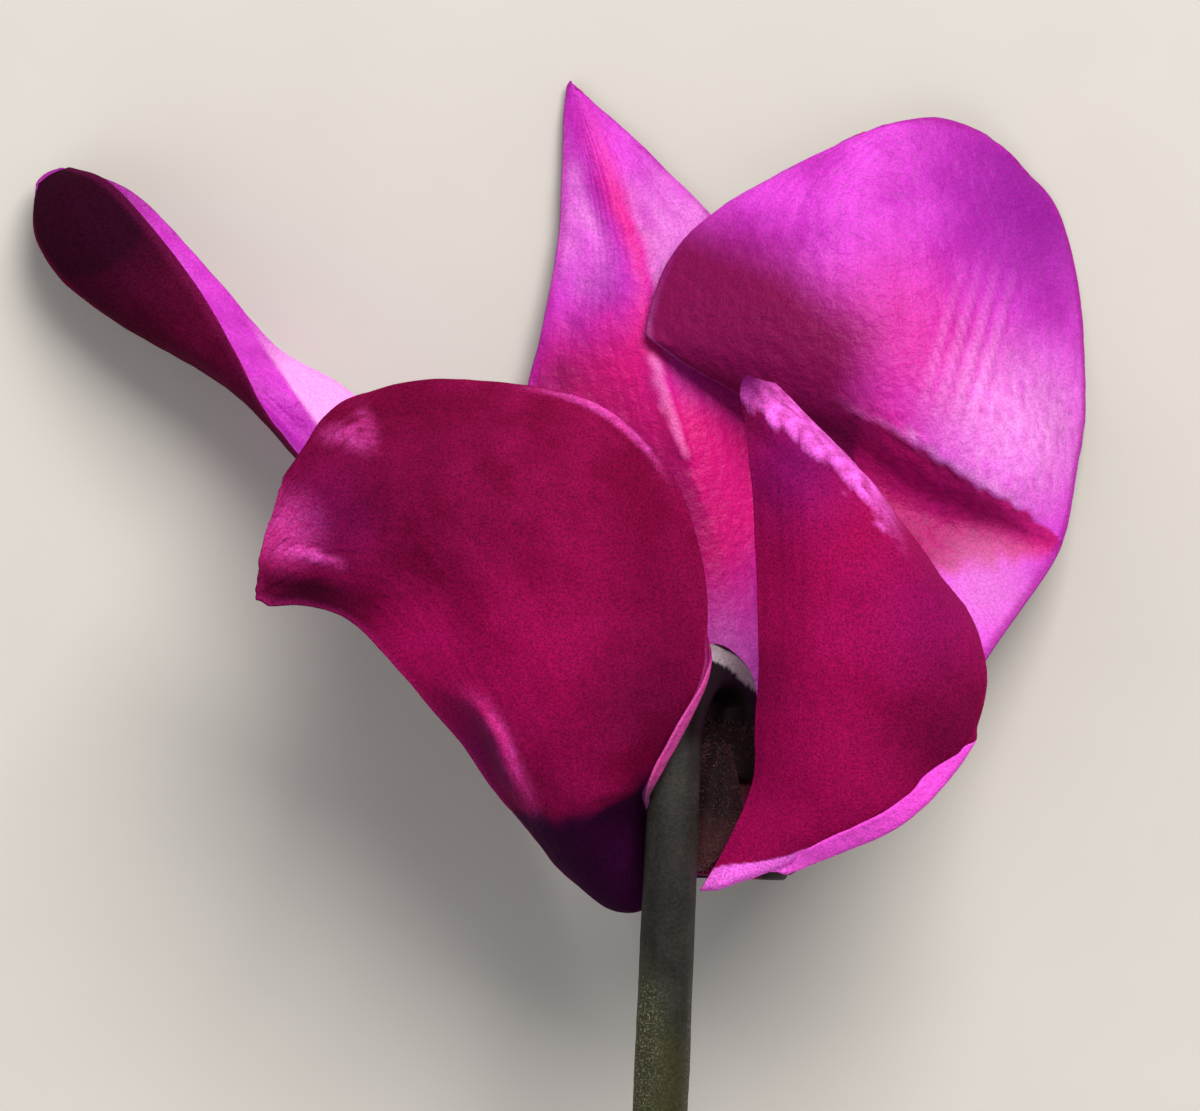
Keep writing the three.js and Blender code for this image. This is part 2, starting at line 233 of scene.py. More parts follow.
# %% Sheets
def ironed(rows, times):
    """The same rows of points with small kinks between one row and the next smoothed away."""
    for _ in range(times):
        rows = rows.copy()
        rows[1:-1] = (rows[:-2] + 2 * rows[1:-1] + rows[2:]) / 4
    return rows


def unit(vectors):
    """The same vectors with a length of 1."""
    return vectors / np.linalg.norm(vectors, axis=-1, keepdims=True)


def normals(grid):
    """Unit normals, on the side that turns into the outer face when a petal bends back."""
    return unit(np.cross(np.gradient(grid, axis=1), np.gradient(grid, axis=0)))


def measured(grid, middle):
    """A sheet with the distances in mm that its patterns are drawn by: from base, midrib and margin."""
    rows, columns = grid.shape[:2]
    along = np.linalg.norm(np.diff(grid, axis=0), axis=2)
    across = np.linalg.norm(np.diff(grid, axis=1), axis=2)
    base = np.concatenate([np.zeros((1, columns)), np.cumsum(along, axis=0)])
    left = np.concatenate([np.zeros((rows, 1)), np.cumsum(across, axis=1)], axis=1)
    side = left - left[:, middle:middle + 1]
    right = left[:, -1:] - left
    tip = base[-1] - base
    return SimpleNamespace(grid=grid, middle=middle, base=base, side=side, left=left, right=right, tip=tip)


flat = measured(np.stack(np.meshgrid(even(4), even(6), [0.0]), axis=-1)[:, :, 0], 2)
print("a flat sheet of 1 mm is", round(float(flat.left[0, -1]), 2), "mm wide")

# %% [markdown]
# Patterns on a sheet
#
# Everything small on a petal is a pattern: soft noise for lumps, a soft step where one colour gives way
# to another, a ridge along a fold. Texture nodes could make them too, but then a wrinkle and the paint on
# it would be separate things. Worked out on the points, one pattern can lift the skin and colour it at
# the same place.

# %% Patterns on a sheet
def rough(sheet, size, seed, stretch=1.0):
    """Soft noise from about -1 to 1 over a sheet, with lumps of a size in mm, longer along it by stretch."""
    spots = np.stack([sheet.side / size, sheet.base / (size * stretch)], axis=2).reshape(-1, 2)
    values = [noise.noise((x, y, seed)) for x, y in spots]
    return np.array(values).reshape(sheet.base.shape)


def rise(values, low, high):
    """0 at low, 1 at high, and a smooth change between them."""
    t = np.clip((np.asarray(values, float) - low) / (high - low), 0, 1)
    return t * t * (3 - 2 * t)


def ridge(distance, width):
    """1 where a distance is 0, and a soft fall to 0 at about twice the width."""
    return np.exp(-(np.asarray(distance) / width) ** 2)


def near(sheet, x, y, radius):
    """1 at a spot in mm, as the camera sees it, and a soft fall to 0 at the radius."""
    return 1 - rise(np.hypot(sheet.grid[..., 0] - x, sheet.grid[..., 1] - y), 0, radius)


def beside(grid, line):
    """Distance in mm from a line of x and y points, as the camera sees it, positive on its left."""
    here = grid[..., :2]
    best = np.full(here.shape[:-1], 1e9)
    signed = np.zeros(here.shape[:-1])
    for start, stop in zip(np.array(line[:-1], float), np.array(line[1:], float)):
        way = stop - start
        share = np.clip(((here - start) @ way) / (way @ way), 0, 1)
        distance = np.linalg.norm(here - start - share[..., None] * way, axis=-1)
        turn = way[0] * (here[..., 1] - start[1]) - way[1] * (here[..., 0] - start[0])
        signed = np.where(distance < best, distance * np.sign(turn), signed)
        best = np.minimum(best, distance)
    return signed


print("a soft step from 0 to 1:", [round(float(x), 2) for x in rise(even(4), 0, 1)])

# %% [markdown]
# Objects and their marks
#
# Pigment in a living petal lies where it grew, so the paint is steered by marks: numbers from 0 to 1
# stored on the points, one kind for each paint. Besides pigment, some paints are painted light: highlights
# where light falls, shade on sides turned away and in folds, and a glow of light through the thin tissue.
# A material reads them through an Attribute node. Vertex colours would serve as well, but a mark says
# what it means, and its colour can be changed later in one place.

# %% Objects and marks
# Each of these paints is partly pigment and partly painted light, as highlight, shade and glow.
PAINTS = ("flush", "rose", "pale", "dusk", "plum", "pink")
# The eye is a petal's dark foot, partly painted shade; on the tube it is painted shade alone.
MARKS = ("vein", "hem", "eye") + PAINTS


def make_object(name, points, faces, materials, face_materials=None):
    """A smooth-shaded object from points in mm about the foot."""
    mesh = bpy.data.meshes.new(name)
    mesh.from_pydata(on_table(points).tolist(), [], [list(map(int, face)) for face in faces])
    for material in materials:
        mesh.materials.append(material)
    if face_materials is not None:
        mesh.polygons.foreach_set("material_index", np.asarray(face_materials, np.int32))
    mesh.polygons.foreach_set("use_smooth", np.ones(len(mesh.polygons), bool))
    mesh.update()
    made = bpy.data.objects.new(name, mesh)
    bpy.context.scene.collection.objects.link(made)
    return made


def store(made, name, values):
    """Stores one number on each point of an object, for its material to read."""
    attribute = made.data.attributes.new(name, "FLOAT", "POINT")
    attribute.data.foreach_set("value", np.asarray(values, np.float32).ravel())


def take_place(made, node):
    """Lets a finished piece stand for its plain solid."""
    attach(made, "root")
    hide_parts(node)
    print(made.name, "has", len(made.data.polygons), "faces")


print("marks on a petal's points:", ", ".join(MARKS))

# %% [markdown]
# From sheet to solid
#
# A real petal is about a third of a millimetre thick and thinner still at its margin. The Solidify
# modifier could thicken a sheet, but the margin is to be round and each face is to carry its own skin, so
# the two faces and the rounded rim are laid out here by hand.

# %% Thin closed pieces
def thin_solid(sheet, thickness, margin):
    """Points, faces, each face's skin and the sheet's point behind each point, of a thin closed solid."""
    rows, columns = sheet.grid.shape[:2]
    rim = np.minimum(np.minimum(sheet.left, sheet.right), sheet.tip)
    half_thick = (margin + (thickness - margin) * rise(rim, 0, 3 * thickness)) / 2
    offset = normals(sheet.grid) * half_thick[..., None]
    number = np.arange(rows * columns).reshape(rows, columns)
    border = np.concatenate([number[0, :-1], number[:-1, -1], number[-1, :0:-1], number[:0:-1, 0]])
    inward = np.concatenate([number[1, :-1], number[:-1, -2], number[-2, :0:-1], number[:0:-1, 1]])
    flat = sheet.grid.reshape(-1, 3)
    edge = flat[border] + unit(flat[border] - flat[inward]) * margin / 2
    two_faces = [(sheet.grid + offset).reshape(-1, 3), (sheet.grid - offset).reshape(-1, 3)]
    points = np.concatenate(two_faces + [edge])
    below = rows * columns
    a, b = number[:-1, :-1].ravel(), number[:-1, 1:].ravel()
    c, d = number[1:, 1:].ravel(), number[1:, :-1].ravel()
    ring = 2 * below + np.arange(len(border))
    after, ring_after = np.roll(border, -1), np.roll(ring, -1)
    upper = [np.stack([a, b, c, d], axis=1), np.stack([after, border, ring, ring_after], axis=1)]
    lower = [
        np.stack([a, d, c, b], axis=1) + below,
        np.stack([ring_after, ring, border + below, after + below], axis=1),
    ]
    faces = np.concatenate(upper + lower)
    which = np.repeat([0, 1], len(faces) // 2)
    behind = np.concatenate([number.ravel(), number.ravel(), border])
    return points, faces, which, behind


print("faces of a small thin solid:", len(thin_solid(flat, 0.1, 0.05)[1]))

# %% [markdown]
# How a living skin is painted
#
# Every skin of the flower starts from a ground of two near colours in soft clouds. Paints are laid over
# it one by one, each where a mark on the points says so, and tiny specks may come last. An image could be
# painted instead, but these layers stay sharp at any distance and keep their size in mm on every piece.

# %% Paint of a living skin
def ground_and_layers(tree, here, look):
    """Colour of a mottled ground, with a layer of paint for each mark."""
    clouds = {"Vector": here, "Scale": 1 / (look.mottle_size * MM), "Detail": 4.0}
    mottle = add(tree, "ShaderNodeTexNoise", clouds).outputs[0]
    spread = add(tree, "ShaderNodeMapRange", {0: mottle, 1: 0.35, 2: 0.65})
    ground = {0: spread.outputs[0], 6: linear(look.dark), 7: linear(look.light)}
    colour = add(tree, "ShaderNodeMix", ground, data_type="RGBA").outputs[2]
    for mark, share, paint in look.layers:
        painted = add(tree, "ShaderNodeAttribute", attribute_name=mark)
        amount = add(tree, "ShaderNodeMath", {0: painted.outputs["Fac"], 1: share}, operation="MULTIPLY")
        layer = {0: amount.outputs[0], 6: colour, 7: linear(paint)}
        colour = add(tree, "ShaderNodeMix", layer, data_type="RGBA").outputs[2]
    return colour


def speckled(tree, here, look, colour):
    """The colour with specks over it, and how far the specks stand out."""
    raised = 0.0
    for mark, size, paint in look.specks:
        dots = add(tree, "ShaderNodeTexNoise", {"Vector": here, "Scale": 1 / (size * MM), "Detail": 1.5})
        shown = add(tree, "ShaderNodeMapRange", {0: dots.outputs[0], 1: 0.5, 2: 0.72})
        painted = add(tree, "ShaderNodeAttribute", attribute_name=mark)
        both = {0: shown.outputs[0], 1: painted.outputs["Fac"]}
        raised = add(tree, "ShaderNodeMath", both, operation="MULTIPLY").outputs[0]
        over = {0: raised, 6: colour, 7: linear(paint)}
        colour = add(tree, "ShaderNodeMix", over, data_type="RGBA").outputs[2]
    return colour, raised


print("a speck of 0.13 mm has a noise scale of", round(1 / (0.13 * MM)), "to a metre")

# %% [markdown]
# Gloss, bloom and light through the skin
#
# The surface of living tissue is a film of wax over cells filled with water, and its refraction lies
# between those of water and wax, at about 1.42. Grain darkens and lightens it cell by cell, and the same
# grain and a coarser pucker raise it. A sheen layer stands for the bloom of short hairs and domed cells.
# The tissue lets some light through, so a translucent shader is mixed in. Subsurface scattering would do
# this for a thick fruit, but a petal is too thin for light to spread sideways in it.

# %% Living skins
TISSUE_IOR = 1.42
SPECK_RELIEF = 2.0


def living_skin(name, look):
    """The skin of a living piece. look gives its colours, grain, gloss and bloom."""
    material, tree = new_material(name)
    here = add(tree, "ShaderNodeTexCoord").outputs["Object"]
    colour, raised = speckled(tree, here, look, ground_and_layers(tree, here, look))
    fine = {"Vector": here, "Scale": 1 / (look.grain_size * MM), "Detail": 2.0, "Roughness": 0.6}
    grain = add(tree, "ShaderNodeTexNoise", fine).outputs[0]
    shades = add(tree, "ShaderNodeMapRange", {0: grain, 1: 0.3, 2: 0.7, 3: 1 - look.grain, 4: 1 + look.grain})
    grained = {0: 1.0, 6: colour, 7: shades.outputs[0]}
    colour = add(tree, "ShaderNodeMix", grained, data_type="RGBA", blend_type="MULTIPLY").outputs[2]
    coarse = {"Vector": here, "Scale": 1 / (look.pucker_size * MM), "Detail": 3.0}
    pucker = add(tree, "ShaderNodeTexNoise", coarse).outputs[0]
    relief = add(tree, "ShaderNodeMath", {0: pucker, 1: look.pucker, 2: grain}, operation="MULTIPLY_ADD")
    relief = {0: raised, 1: SPECK_RELIEF, 2: relief.outputs[0]}
    relief = add(tree, "ShaderNodeMath", relief, operation="MULTIPLY_ADD").outputs[0]
    bump = add(tree, "ShaderNodeBump", {"Strength": 1.0, "Distance": look.grain_depth * MM, "Height": relief})
    skin = add(tree, "ShaderNodeBsdfPrincipled", {
        "Base Color": colour, "Roughness": look.roughness, "IOR": TISSUE_IOR,
        "Specular IOR Level": look.gloss, "Sheen Weight": look.bloom, "Sheen Roughness": 0.4,
        "Sheen Tint": linear(look.bloom_tint), "Normal": bump.outputs[0],
    })
    through = add(tree, "ShaderNodeBsdfTranslucent", {"Color": colour, "Normal": bump.outputs[0]})
    both = add(tree, "ShaderNodeMixShader", {0: look.translucence, 1: skin.outputs[0], 2: through.outputs[0]})
    add(tree, "ShaderNodeOutputMaterial", {"Surface": both.outputs[0]})
    print(name, "has", len(tree.nodes), "nodes")
    return material


print("refraction of a living skin:", TISSUE_IOR)

# %% [markdown]
# Velvet
#
# The outer face of a swept-back petal grows a layer of tiny domed cells. They catch light from the side
# and give the eye the look of velvet: deep crimson with hardly any shine, and a faint violet bloom. The
# cells are about 0.05 mm wide, too fine to show in the render, so the grain is drawn three times as
# coarse.

# %% Velvet skin
# Besides veins, hem and piping, these layers are largely painted light and shade: a warmer crimson where light
# falls, plum and near-black for painted shade, and pale pink for painted highlights.
velvet = living_skin("velvet_petal_skin", SimpleNamespace(
    dark="#6a0330", light="#7e0840", mottle_size=3.5,
    layers=[
        ("vein", 0.12, "#4c0430"), ("flush", 1.0, "#b00c5c"), ("plum", 1.0, "#560a58"),
        ("dusk", 1.0, "#280418"), ("eye", 1.0, "#2a0428"), ("hem", 0.7, "#c02882"), ("pale", 1.0, "#f26ae4"),
    ],
    specks=[], grain_size=0.15, grain=0.4, pucker_size=0.9, pucker=0.5, grain_depth=0.03,
    roughness=0.75, gloss=0.035, bloom=0.03, bloom_tint="#ff40a0", translucence=0.15,
))

# %% [markdown]
# Wax
#
# The inner face of a petal is smoother. A film of wax lies over it, and the skin puckers between the
# veins, so it looks like thin satin: pale orchid pink with soft broken lights. It is lighter than the
# velvet because its cells hold less pigment, and more light comes through it.

# %% Waxy skin
# Besides veins and hem, these layers are largely painted light and shade: rose and bright pink for a painted
# glow of light through the petal, crimson and violet for painted shade, and pale for painted highlights.
orchid = living_skin("waxy_petal_skin", SimpleNamespace(
    dark="#c22abc", light="#de44da", mottle_size=3.5,
    layers=[
        ("vein", 0.3, "#a822a0"), ("rose", 1.0, "#e81488"), ("flush", 1.0, "#860652"),
        ("dusk", 1.0, "#961298"), ("eye", 1.0, "#7a0848"), ("pale", 1.0, "#fca8f6"),
        ("hem", 0.8, "#a41a96"), ("pink", 1.0, "#ff54e8"),
    ],
    specks=[], grain_size=0.15, grain=0.24, pucker_size=0.7, pucker=5.0, grain_depth=0.035,
    roughness=0.45, gloss=0.24, bloom=0.08, bloom_tint="#ffa0ff", translucence=0.3,
))

# %% [markdown]
# Relief of a petal
#
# No petal is a clean sheet. Veins run out from its base and stand a little proud, the skin swells between
# them, and the margin ruffles because it has grown more than the middle. A bump map could fake this, but
# these are small heights in mm that push the sheet along its normal, so they are real shape, seen from
# the side too.

# %% Common relief
STEPS_ALONG = 190
STEPS_ACROSS = 110
VEINS = 22
VEIN_SHARPNESS = 14
VEIN_HEIGHT = 0.04
PUCKER_HEIGHT = 0.045
PUCKER_SIZE = 0.8
SWELL_SIZE = 8
RUFFLE_SIZE = 4.5
RUFFLE_REACH = 2.5


def petal_sheet(sections, seed, ruffle=0.3, swell=0.3, eye=6.0):
    """A petal's sheet with the heights and marks that all petals have. The last argument is how far its dark
    foot goes, the eye, partly painted shade where the foot turns under.
    """
    lines = ironed(smooth_line(sections, even(STEPS_ALONG)), 10)
    grid = smooth_line(lines.transpose(1, 0, 2), close_at_ends(STEPS_ACROSS)).transpose(1, 0, 2)
    sheet = measured(grid, STEPS_ACROSS // 2)
    across = 2 * close_at_ends(STEPS_ACROSS) - 1
    outer = np.minimum(np.minimum(sheet.left, sheet.right), sheet.tip)
    away = rise(sheet.base, 2, 10)
    place = (across + 0.04 * rough(sheet, 9, seed, 2.0)) * VEINS / 2
    main = np.clip(np.cos(math.pi * place), 0, 1) ** VEIN_SHARPNESS
    branch = np.clip(np.cos(math.pi * (place + 1)), 0, 1) ** VEIN_SHARPNESS * rise(sheet.base, 14, 24)
    sheet.vein = np.clip(main + 0.7 * branch, 0, 1) * rise(outer, 0.3, 3) * away
    sheet.height = VEIN_HEIGHT * sheet.vein
    sheet.height += PUCKER_HEIGHT * rough(sheet, PUCKER_SIZE, seed + 3, 1.4) * away
    sheet.height += swell * rough(sheet, SWELL_SIZE, seed + 7, 1.5) * away
    sheet.height += ruffle * rough(sheet, RUFFLE_SIZE, seed + 11) * np.exp(-outer / RUFFLE_REACH) * away
    # The dark foot of a petal, partly painted shade where it turns down into the mouth.
    sheet.eye = 1 - rise(sheet.base + 1.2 * rough(sheet, 2, seed + 13), eye - 1, eye + 1)
    for key in PAINTS:
        setattr(sheet, key, np.zeros(sheet.base.shape))
    print("a petal of", round(float(sheet.base.max()), 1), "mm along its longest line")
    return sheet


def settle(sheet):
    """Pushes the sheet's points out by their heights, and measures it again."""
    grid = sheet.grid + normals(sheet.grid) * sheet.height[..., None]
    sheet.__dict__.update(measured(grid, sheet.middle).__dict__)


print("points on a petal's sheet:", (STEPS_ALONG + 1) * (STEPS_ACROSS + 1))

# %% [markdown]
# Curled margins
#
# In places a petal's margin curls forward over the face like a turned-up hem, and shows the pale inner
# skin. A modifier that bends would turn the whole petal, so a strip is added beyond the right margin
# instead. Row by row it sets off in the petal's own direction, turns by an angle on a small radius, and
# runs on straight.

# %% Curled margins
CURL_RADIUS = 0.3
CURL_STEPS = 16
SHORTEST_FLAP = 0.12
DRAW_IN_REACH = 1.2


def outward_from_margin(sheet):
    """The direction in which a petal's sheet leaves its right margin, for each row."""
    return unit(ironed(unit(sheet.grid[:, -1] - sheet.grid[:, -2]), 12))


def draw_in(sheet, amount):
    """Moves the right margin inwards by an amount in mm for each row, because a curl stands out beyond it."""
    pull = amount[:, None] * np.exp(-sheet.right / DRAW_IN_REACH)
    sheet.grid = sheet.grid - pull[..., None] * outward_from_margin(sheet)[:, None]


def curl(sheet, turn, flap):
    """Adds a strip beyond the right margin, and gives 1 for each added column.

    turn is the strip's angle in radians and flap its flat width in mm, for each row.
    """
    columns = sheet.base.shape[1]
    flap = np.maximum(flap, SHORTEST_FLAP)
    outward = outward_from_margin(sheet)
    up = ironed(normals(sheet.grid)[:, -1], 12)
    up = unit(up - outward * np.sum(up * outward, axis=1, keepdims=True))
    step = (turn * CURL_RADIUS + flap) / CURL_STEPS
    here = sheet.grid[:, -1]
    strip = []
    for k in range(CURL_STEPS):
        angle = np.minimum((k + 0.5) * step / CURL_RADIUS, turn)
        here = here + step[:, None] * (np.cos(angle)[:, None] * outward + np.sin(angle)[:, None] * up)
        strip.append(here)
    again = measured(np.concatenate([sheet.grid, np.stack(strip, axis=1)], axis=1), sheet.middle)
    for key in ("vein", "eye") + PAINTS:
        values = getattr(sheet, key)
        setattr(again, key, np.pad(values, ((0, 0), (0, CURL_STEPS)), mode="edge"))
    sheet.__dict__.update(again.__dict__)
    return 1.0 * (np.arange(columns + CURL_STEPS) >= columns)


print("a full curl is", round(math.pi * CURL_RADIUS, 2), "mm round")

# %% [markdown]
# Making a petal
#
# Each petal grows from the rim of the corolla's mouth, turns back through half a circle and stands past
# the tube. Its first row is doubled a little nearer to the middle, so that it dips under the tube's lip.
# A boolean join would be stronger, but the real petal and tube only run into each other, and two skins
# meet better so. Besides patterns, paint is laid on in dabs: soft round spots, placed where the
# photograph shows them.

# %% Petal maker
PETAL_THICKNESS = 0.36
MARGIN_THICKNESS = 0.2
LIP_SHARE = 0.93
HEM_WIDTH = 0.7


# Many dabs are painted light and shade: highlights where light falls, and shade on parts turned away from it.
def dab(sheet, spots):
    """Lays on soft spots of paint: its mark, how much of it, and the spot's x, y and radius in mm."""
    for mark, amount, x, y, radius in spots:
        setattr(sheet, mark, getattr(sheet, mark) + amount * near(sheet, x, y, radius))


def make_petal(name, node, sheet, left_hem=1.0, right_hem=1.0, tip_hem=1.0):
    """Makes a petal from its sheet, to stand for its plain solid. Hems say how far its margins show."""
    sheet.hem = np.zeros(sheet.base.shape)
    for distance, share in ((sheet.left, left_hem), (sheet.right, right_hem), (sheet.tip, tip_hem)):
        sheet.hem = np.maximum(sheet.hem, share * (1 - rise(distance, 0.1, HEM_WIDTH)))
    sheet.grid = np.concatenate([sheet.grid[:1] * [LIP_SHARE, 1, LIP_SHARE], sheet.grid])
    for key in MARKS + ("left", "right", "tip"):
        values = getattr(sheet, key)
        setattr(sheet, key, np.concatenate([values[:1], values]))
    points, faces, which, behind = thin_solid(sheet, PETAL_THICKNESS, MARGIN_THICKNESS)
    petal = make_object(name, points, faces, [velvet, orchid], which)
    for key in MARKS:
        store(petal, key, np.clip(getattr(sheet, key).ravel()[behind], 0, 1))
    take_place(petal, node)


print("a petal is", PETAL_THICKNESS, "mm thick and its margin", MARGIN_THICKNESS, "mm")

# %% [markdown]
# Front left petal
#
# A broad petal faces the viewer with its velvet side and reaches up to a beak on the far left. Sculpting
# would suit such a form, but a dozen sections hold its outline where the photograph has it. Whatever is
# small on the petal is added to this smooth sheet afterwards, one feature at a time.

# %% Front left petal
FRONT_LEFT = [
    [[-4.4, 0.6, 1], [-4, 0.6, 2], [-3.5, 0.6, 2.8], [-2.9, 0.6, 3.4], [-2.2, 0.6, 3.9]],
    [[-6.6, -1, 1.4], [-6.2, -1.4, 2.8], [-5.4, -1.5, 3.8], [-4.6, -1.3, 4.2], [-3.7, -1, 4.4]],
    [[-9.4, 0.9, 3], [-8.8, 1, 5.2], [-7.6, 1.2, 6.4], [-5.9, 1.3, 6.2], [-4.3, 1.4, 4.8]],
    [[-11, 2.7, 4.5], [-10.1, 3, 7.3], [-8.6, 3.5, 9], [-6.5, 3.9, 8], [-4.2, 4.1, 5]],
    [[-11.7, 3.6, 5.2], [-10.6, 4.1, 8.2], [-8.8, 4.9, 10.1], [-6.6, 5.5, 10.2], [-4.8, 5.5, 7.8]],
    [[-12.4, 4.6, 5.8], [-11, 5.3, 9], [-8.9, 6.3, 11], [-6.2, 7, 11.4], [-4.4, 7.1, 9.7]],
    [[-15.8, 9, 8], [-13.5, 10.3, 11.3], [-10, 12.3, 13.4], [-5.3, 14, 12.8], [-0.9, 14.6, 10.6]],
    [[-19.2, 13, 9.5], [-16.8, 15.6, 12.4], [-12.8, 19, 14.4], [-7, 22.2, 13.4], [-1.9, 23.6, 10.2]],
    [[-22, 16.2, 10.6], [-19.6, 19.2, 13], [-16.5, 23.2, 14.3], [-12, 27.4, 12.9], [-7, 29.6, 9.4]],
    [[-24.8, 17.2, 11.3], [-23, 20, 12.8], [-20.8, 23.6, 13], [-18.3, 27.8, 11.4], [-15.8, 31.4, 8.6]],
    [[-27, 17.4, 11.6], [-26.2, 19.8, 12.2], [-25.3, 22.4, 11.8], [-24.2, 26, 10.5], [-22.8, 29.9, 8.4]],
    [[-28.5, 17.6, 11.6], [-28.3, 19, 11.6], [-28, 20.5, 11.3], [-27.4, 22.7, 10.8], [-26.6, 25.4, 9.8]],
]

sheet = petal_sheet(FRONT_LEFT, 1.5, eye=12.5)

# %% [markdown]
# Its pinched fold
#
# Low on the left margin the petal is pinched: the skin stands up in a short fold, and beyond the fold it
# drops away. A painted highlight lies on the fold, and painted purple shade beyond it. A line of points
# runs along the fold, and each point of the sheet is raised and painted by its distance from that line.
# Edge loops would have to be cut into the mesh for this.

# %% Pinched fold
FOLD_HEIGHT = 0.5
FOLD_DROP = 1.2

fold = beside(sheet.grid, [
    (-16.6, 12.5), (-14.6, 11.3), (-13.5, 9.6), (-12.7, 7.4), (-11.7, 5.6), (-11.1, 3.7),
])
by_fold = near(sheet, -13.6, 8.3, 6)
sheet.grid[..., 2] += by_fold * (FOLD_HEIGHT * ridge(fold, 0.5) - FOLD_DROP * rise(-fold, 0, 1))
mottle = 0.7 + 0.9 * rough(sheet, 0.35, 32)
on_fold = ridge(fold - 0.5, 0.5) * by_fold
beyond_fold = rise(-fold, -0.1, 0.15) * near(sheet, -14, 8.6, 6)
# Painted highlight on the fold and painted purple shade beyond it.
sheet.pale += 0.28 * mottle * on_fold
sheet.flush += 0.9 * on_fold
sheet.plum += 0.4 * beyond_fold
sheet.dusk += 0.5 * beyond_fold * (1 - 0.6 * rise(-fold, 0.4, 1.6))
print("points on the fold:", int((on_fold > 0.5).sum()))

# %% [markdown]
# Its beak
#
# The beak is crumpled: a blister near the upper margin, a wrinkle across the tip, and a lower margin that
# turns under. Where light falls on the blister and the wrinkle a highlight is painted, and the margin that
# turns under is painted in shade. Cloth simulation would crumple it too, but not in the places that the
# photograph shows.

# %% Beak of the front left petal
BLISTER_HEIGHT = 0.45
WRINKLE_HEIGHT = 0.2
CRUMPLE_HEIGHT = 0.3
TURN_UNDER_DEPTH = 0.6

blister = beside(sheet.grid, [(-24.6, 27.7), (-22.6, 27.4), (-20.6, 26.6), (-21.4, 30)])
blister += 0.5 * rough(sheet, 1.3, 33)
sheet.height += BLISTER_HEIGHT * rise(blister, -0.3, 0.5) * near(sheet, -22.6, 28.2, 3)
on_blister = ridge(blister - 0.3, 0.5) * near(sheet, -22.5, 27.8, 2.6)
wrinkle = beside(sheet.grid, [(-27, 20.8), (-25, 20.7), (-22.8, 20)]) + 0.4 * rough(sheet, 1.7, 34)
wrinkle = ridge(wrinkle, 0.3) * near(sheet, -25, 20.6, 3)
crumple = near(sheet, -26, 22.4, 3) * rough(sheet, 1.4, 36, 1.5)
sheet.height += WRINKLE_HEIGHT * wrinkle + CRUMPLE_HEIGHT * crumple
by_wrinkle = near(sheet, -26.4, 22.2, 3.4)
# Painted highlights on the blister and the wrinkle, and painted shade where the margin turns under.
sheet.pale += mottle * (0.3 * on_blister + 0.35 * wrinkle + 0.24 * by_wrinkle)
sheet.flush += 0.9 * on_blister + 0.7 * wrinkle + 0.9 * by_wrinkle
turned_under = (1 - rise(sheet.left + 0.3 * rough(sheet, 1.5, 35), 1.2, 2.8)) * near(sheet, -25.8, 18.2, 6)
sheet.height -= TURN_UNDER_DEPTH * turned_under
sheet.dusk += 0.8 * turned_under
sheet.grid[..., :2] += near(sheet, -28.6, 17.5, 1.2)[..., None] * [0.25, 0.35]
print("the beak's crumples stand up to", round(float(sheet.height.max()), 2), "mm high")

# %% [markdown]
# Its colour and far edge
#
# The crimson is brighter along the lower side, where light is painted on, and duller towards the top and
# the stalk, where shade is painted on. The far edge is ruffled, with a painted highlight in streaks across
# it. The paints are laid on with broad dabs, because the change from one to the next is too soft for a line.

# %% Colour of the front left petal
FAR_EDGE_HEIGHT = 0.3

# Painted light along the lower side, and painted shade towards the top, the beak and the stalk.
dab(sheet, [
    ("flush", 0.45, -14.5, 12, 9), ("flush", 0.15, -8, 17, 9), ("flush", 0.7, -18.8, 15.2, 4.5),
    ("dusk", 0.3, -20, 25.5, 12), ("dusk", 0.2, -3, 17, 8), ("dusk", 0.4, -4.6, 11, 6),
    ("plum", 0.3, -24, 23, 6),
])
# A painted highlight along the raised far edge.
far_edge = ridge(sheet.right - 0.3, 0.28) * near(sheet, -7, 29, 6.5)
sheet.height += FAR_EDGE_HEIGHT * far_edge * (1 + rough(sheet, 1.2, 31))
sheet.pale += far_edge * (0.36 + 0.48 * rough(sheet, 0.7, 30, 0.4))
sheet.flush += 0.9 * far_edge
settle(sheet)
print("width of the petal in mm:", round(float(np.ptp(sheet.grid[..., 0])), 1))

# %% [markdown]
# Its curl beside the stalk
#
# Beside the stalk the right margin rolls forward and shows a rosy rim of the inner skin. The curl grows
# in and dies out along the margin, so its angle and width are given row by row. A separate rim, laid on
# as a pipe, would show a seam here.

# %% Curl beside the stalk
SIDE_CURL_TURN = 2.8
SIDE_CURL_WIDTH = 0.8

up_the_side = sheet.grid[:, -1, 1]
by_stalk = rise(up_the_side, 4, 5.5) * (1 - rise(up_the_side, 13, 16))
flap = rise(up_the_side, 5, 8) * (1 - rise(up_the_side, 10, 14))
draw_in(sheet, -0.4 * by_stalk)
shown = curl(sheet, SIDE_CURL_TURN * by_stalk, SIDE_CURL_WIDTH * flap) * by_stalk[:, None]
sheet.rose += shown
sheet.flush += 0.2 * shown
sheet.pale += 0.15 * shown
make_petal("front_left_petal", "petal_front_left", sheet, left_hem=0.3, right_hem=0, tip_hem=0.2)

# %% [markdown]
# Front right petal
#
# The second petal in front stands upright to the right of the stalk. Its top is folded over towards the
# back, so that the sections run up to a crest and down again behind it.

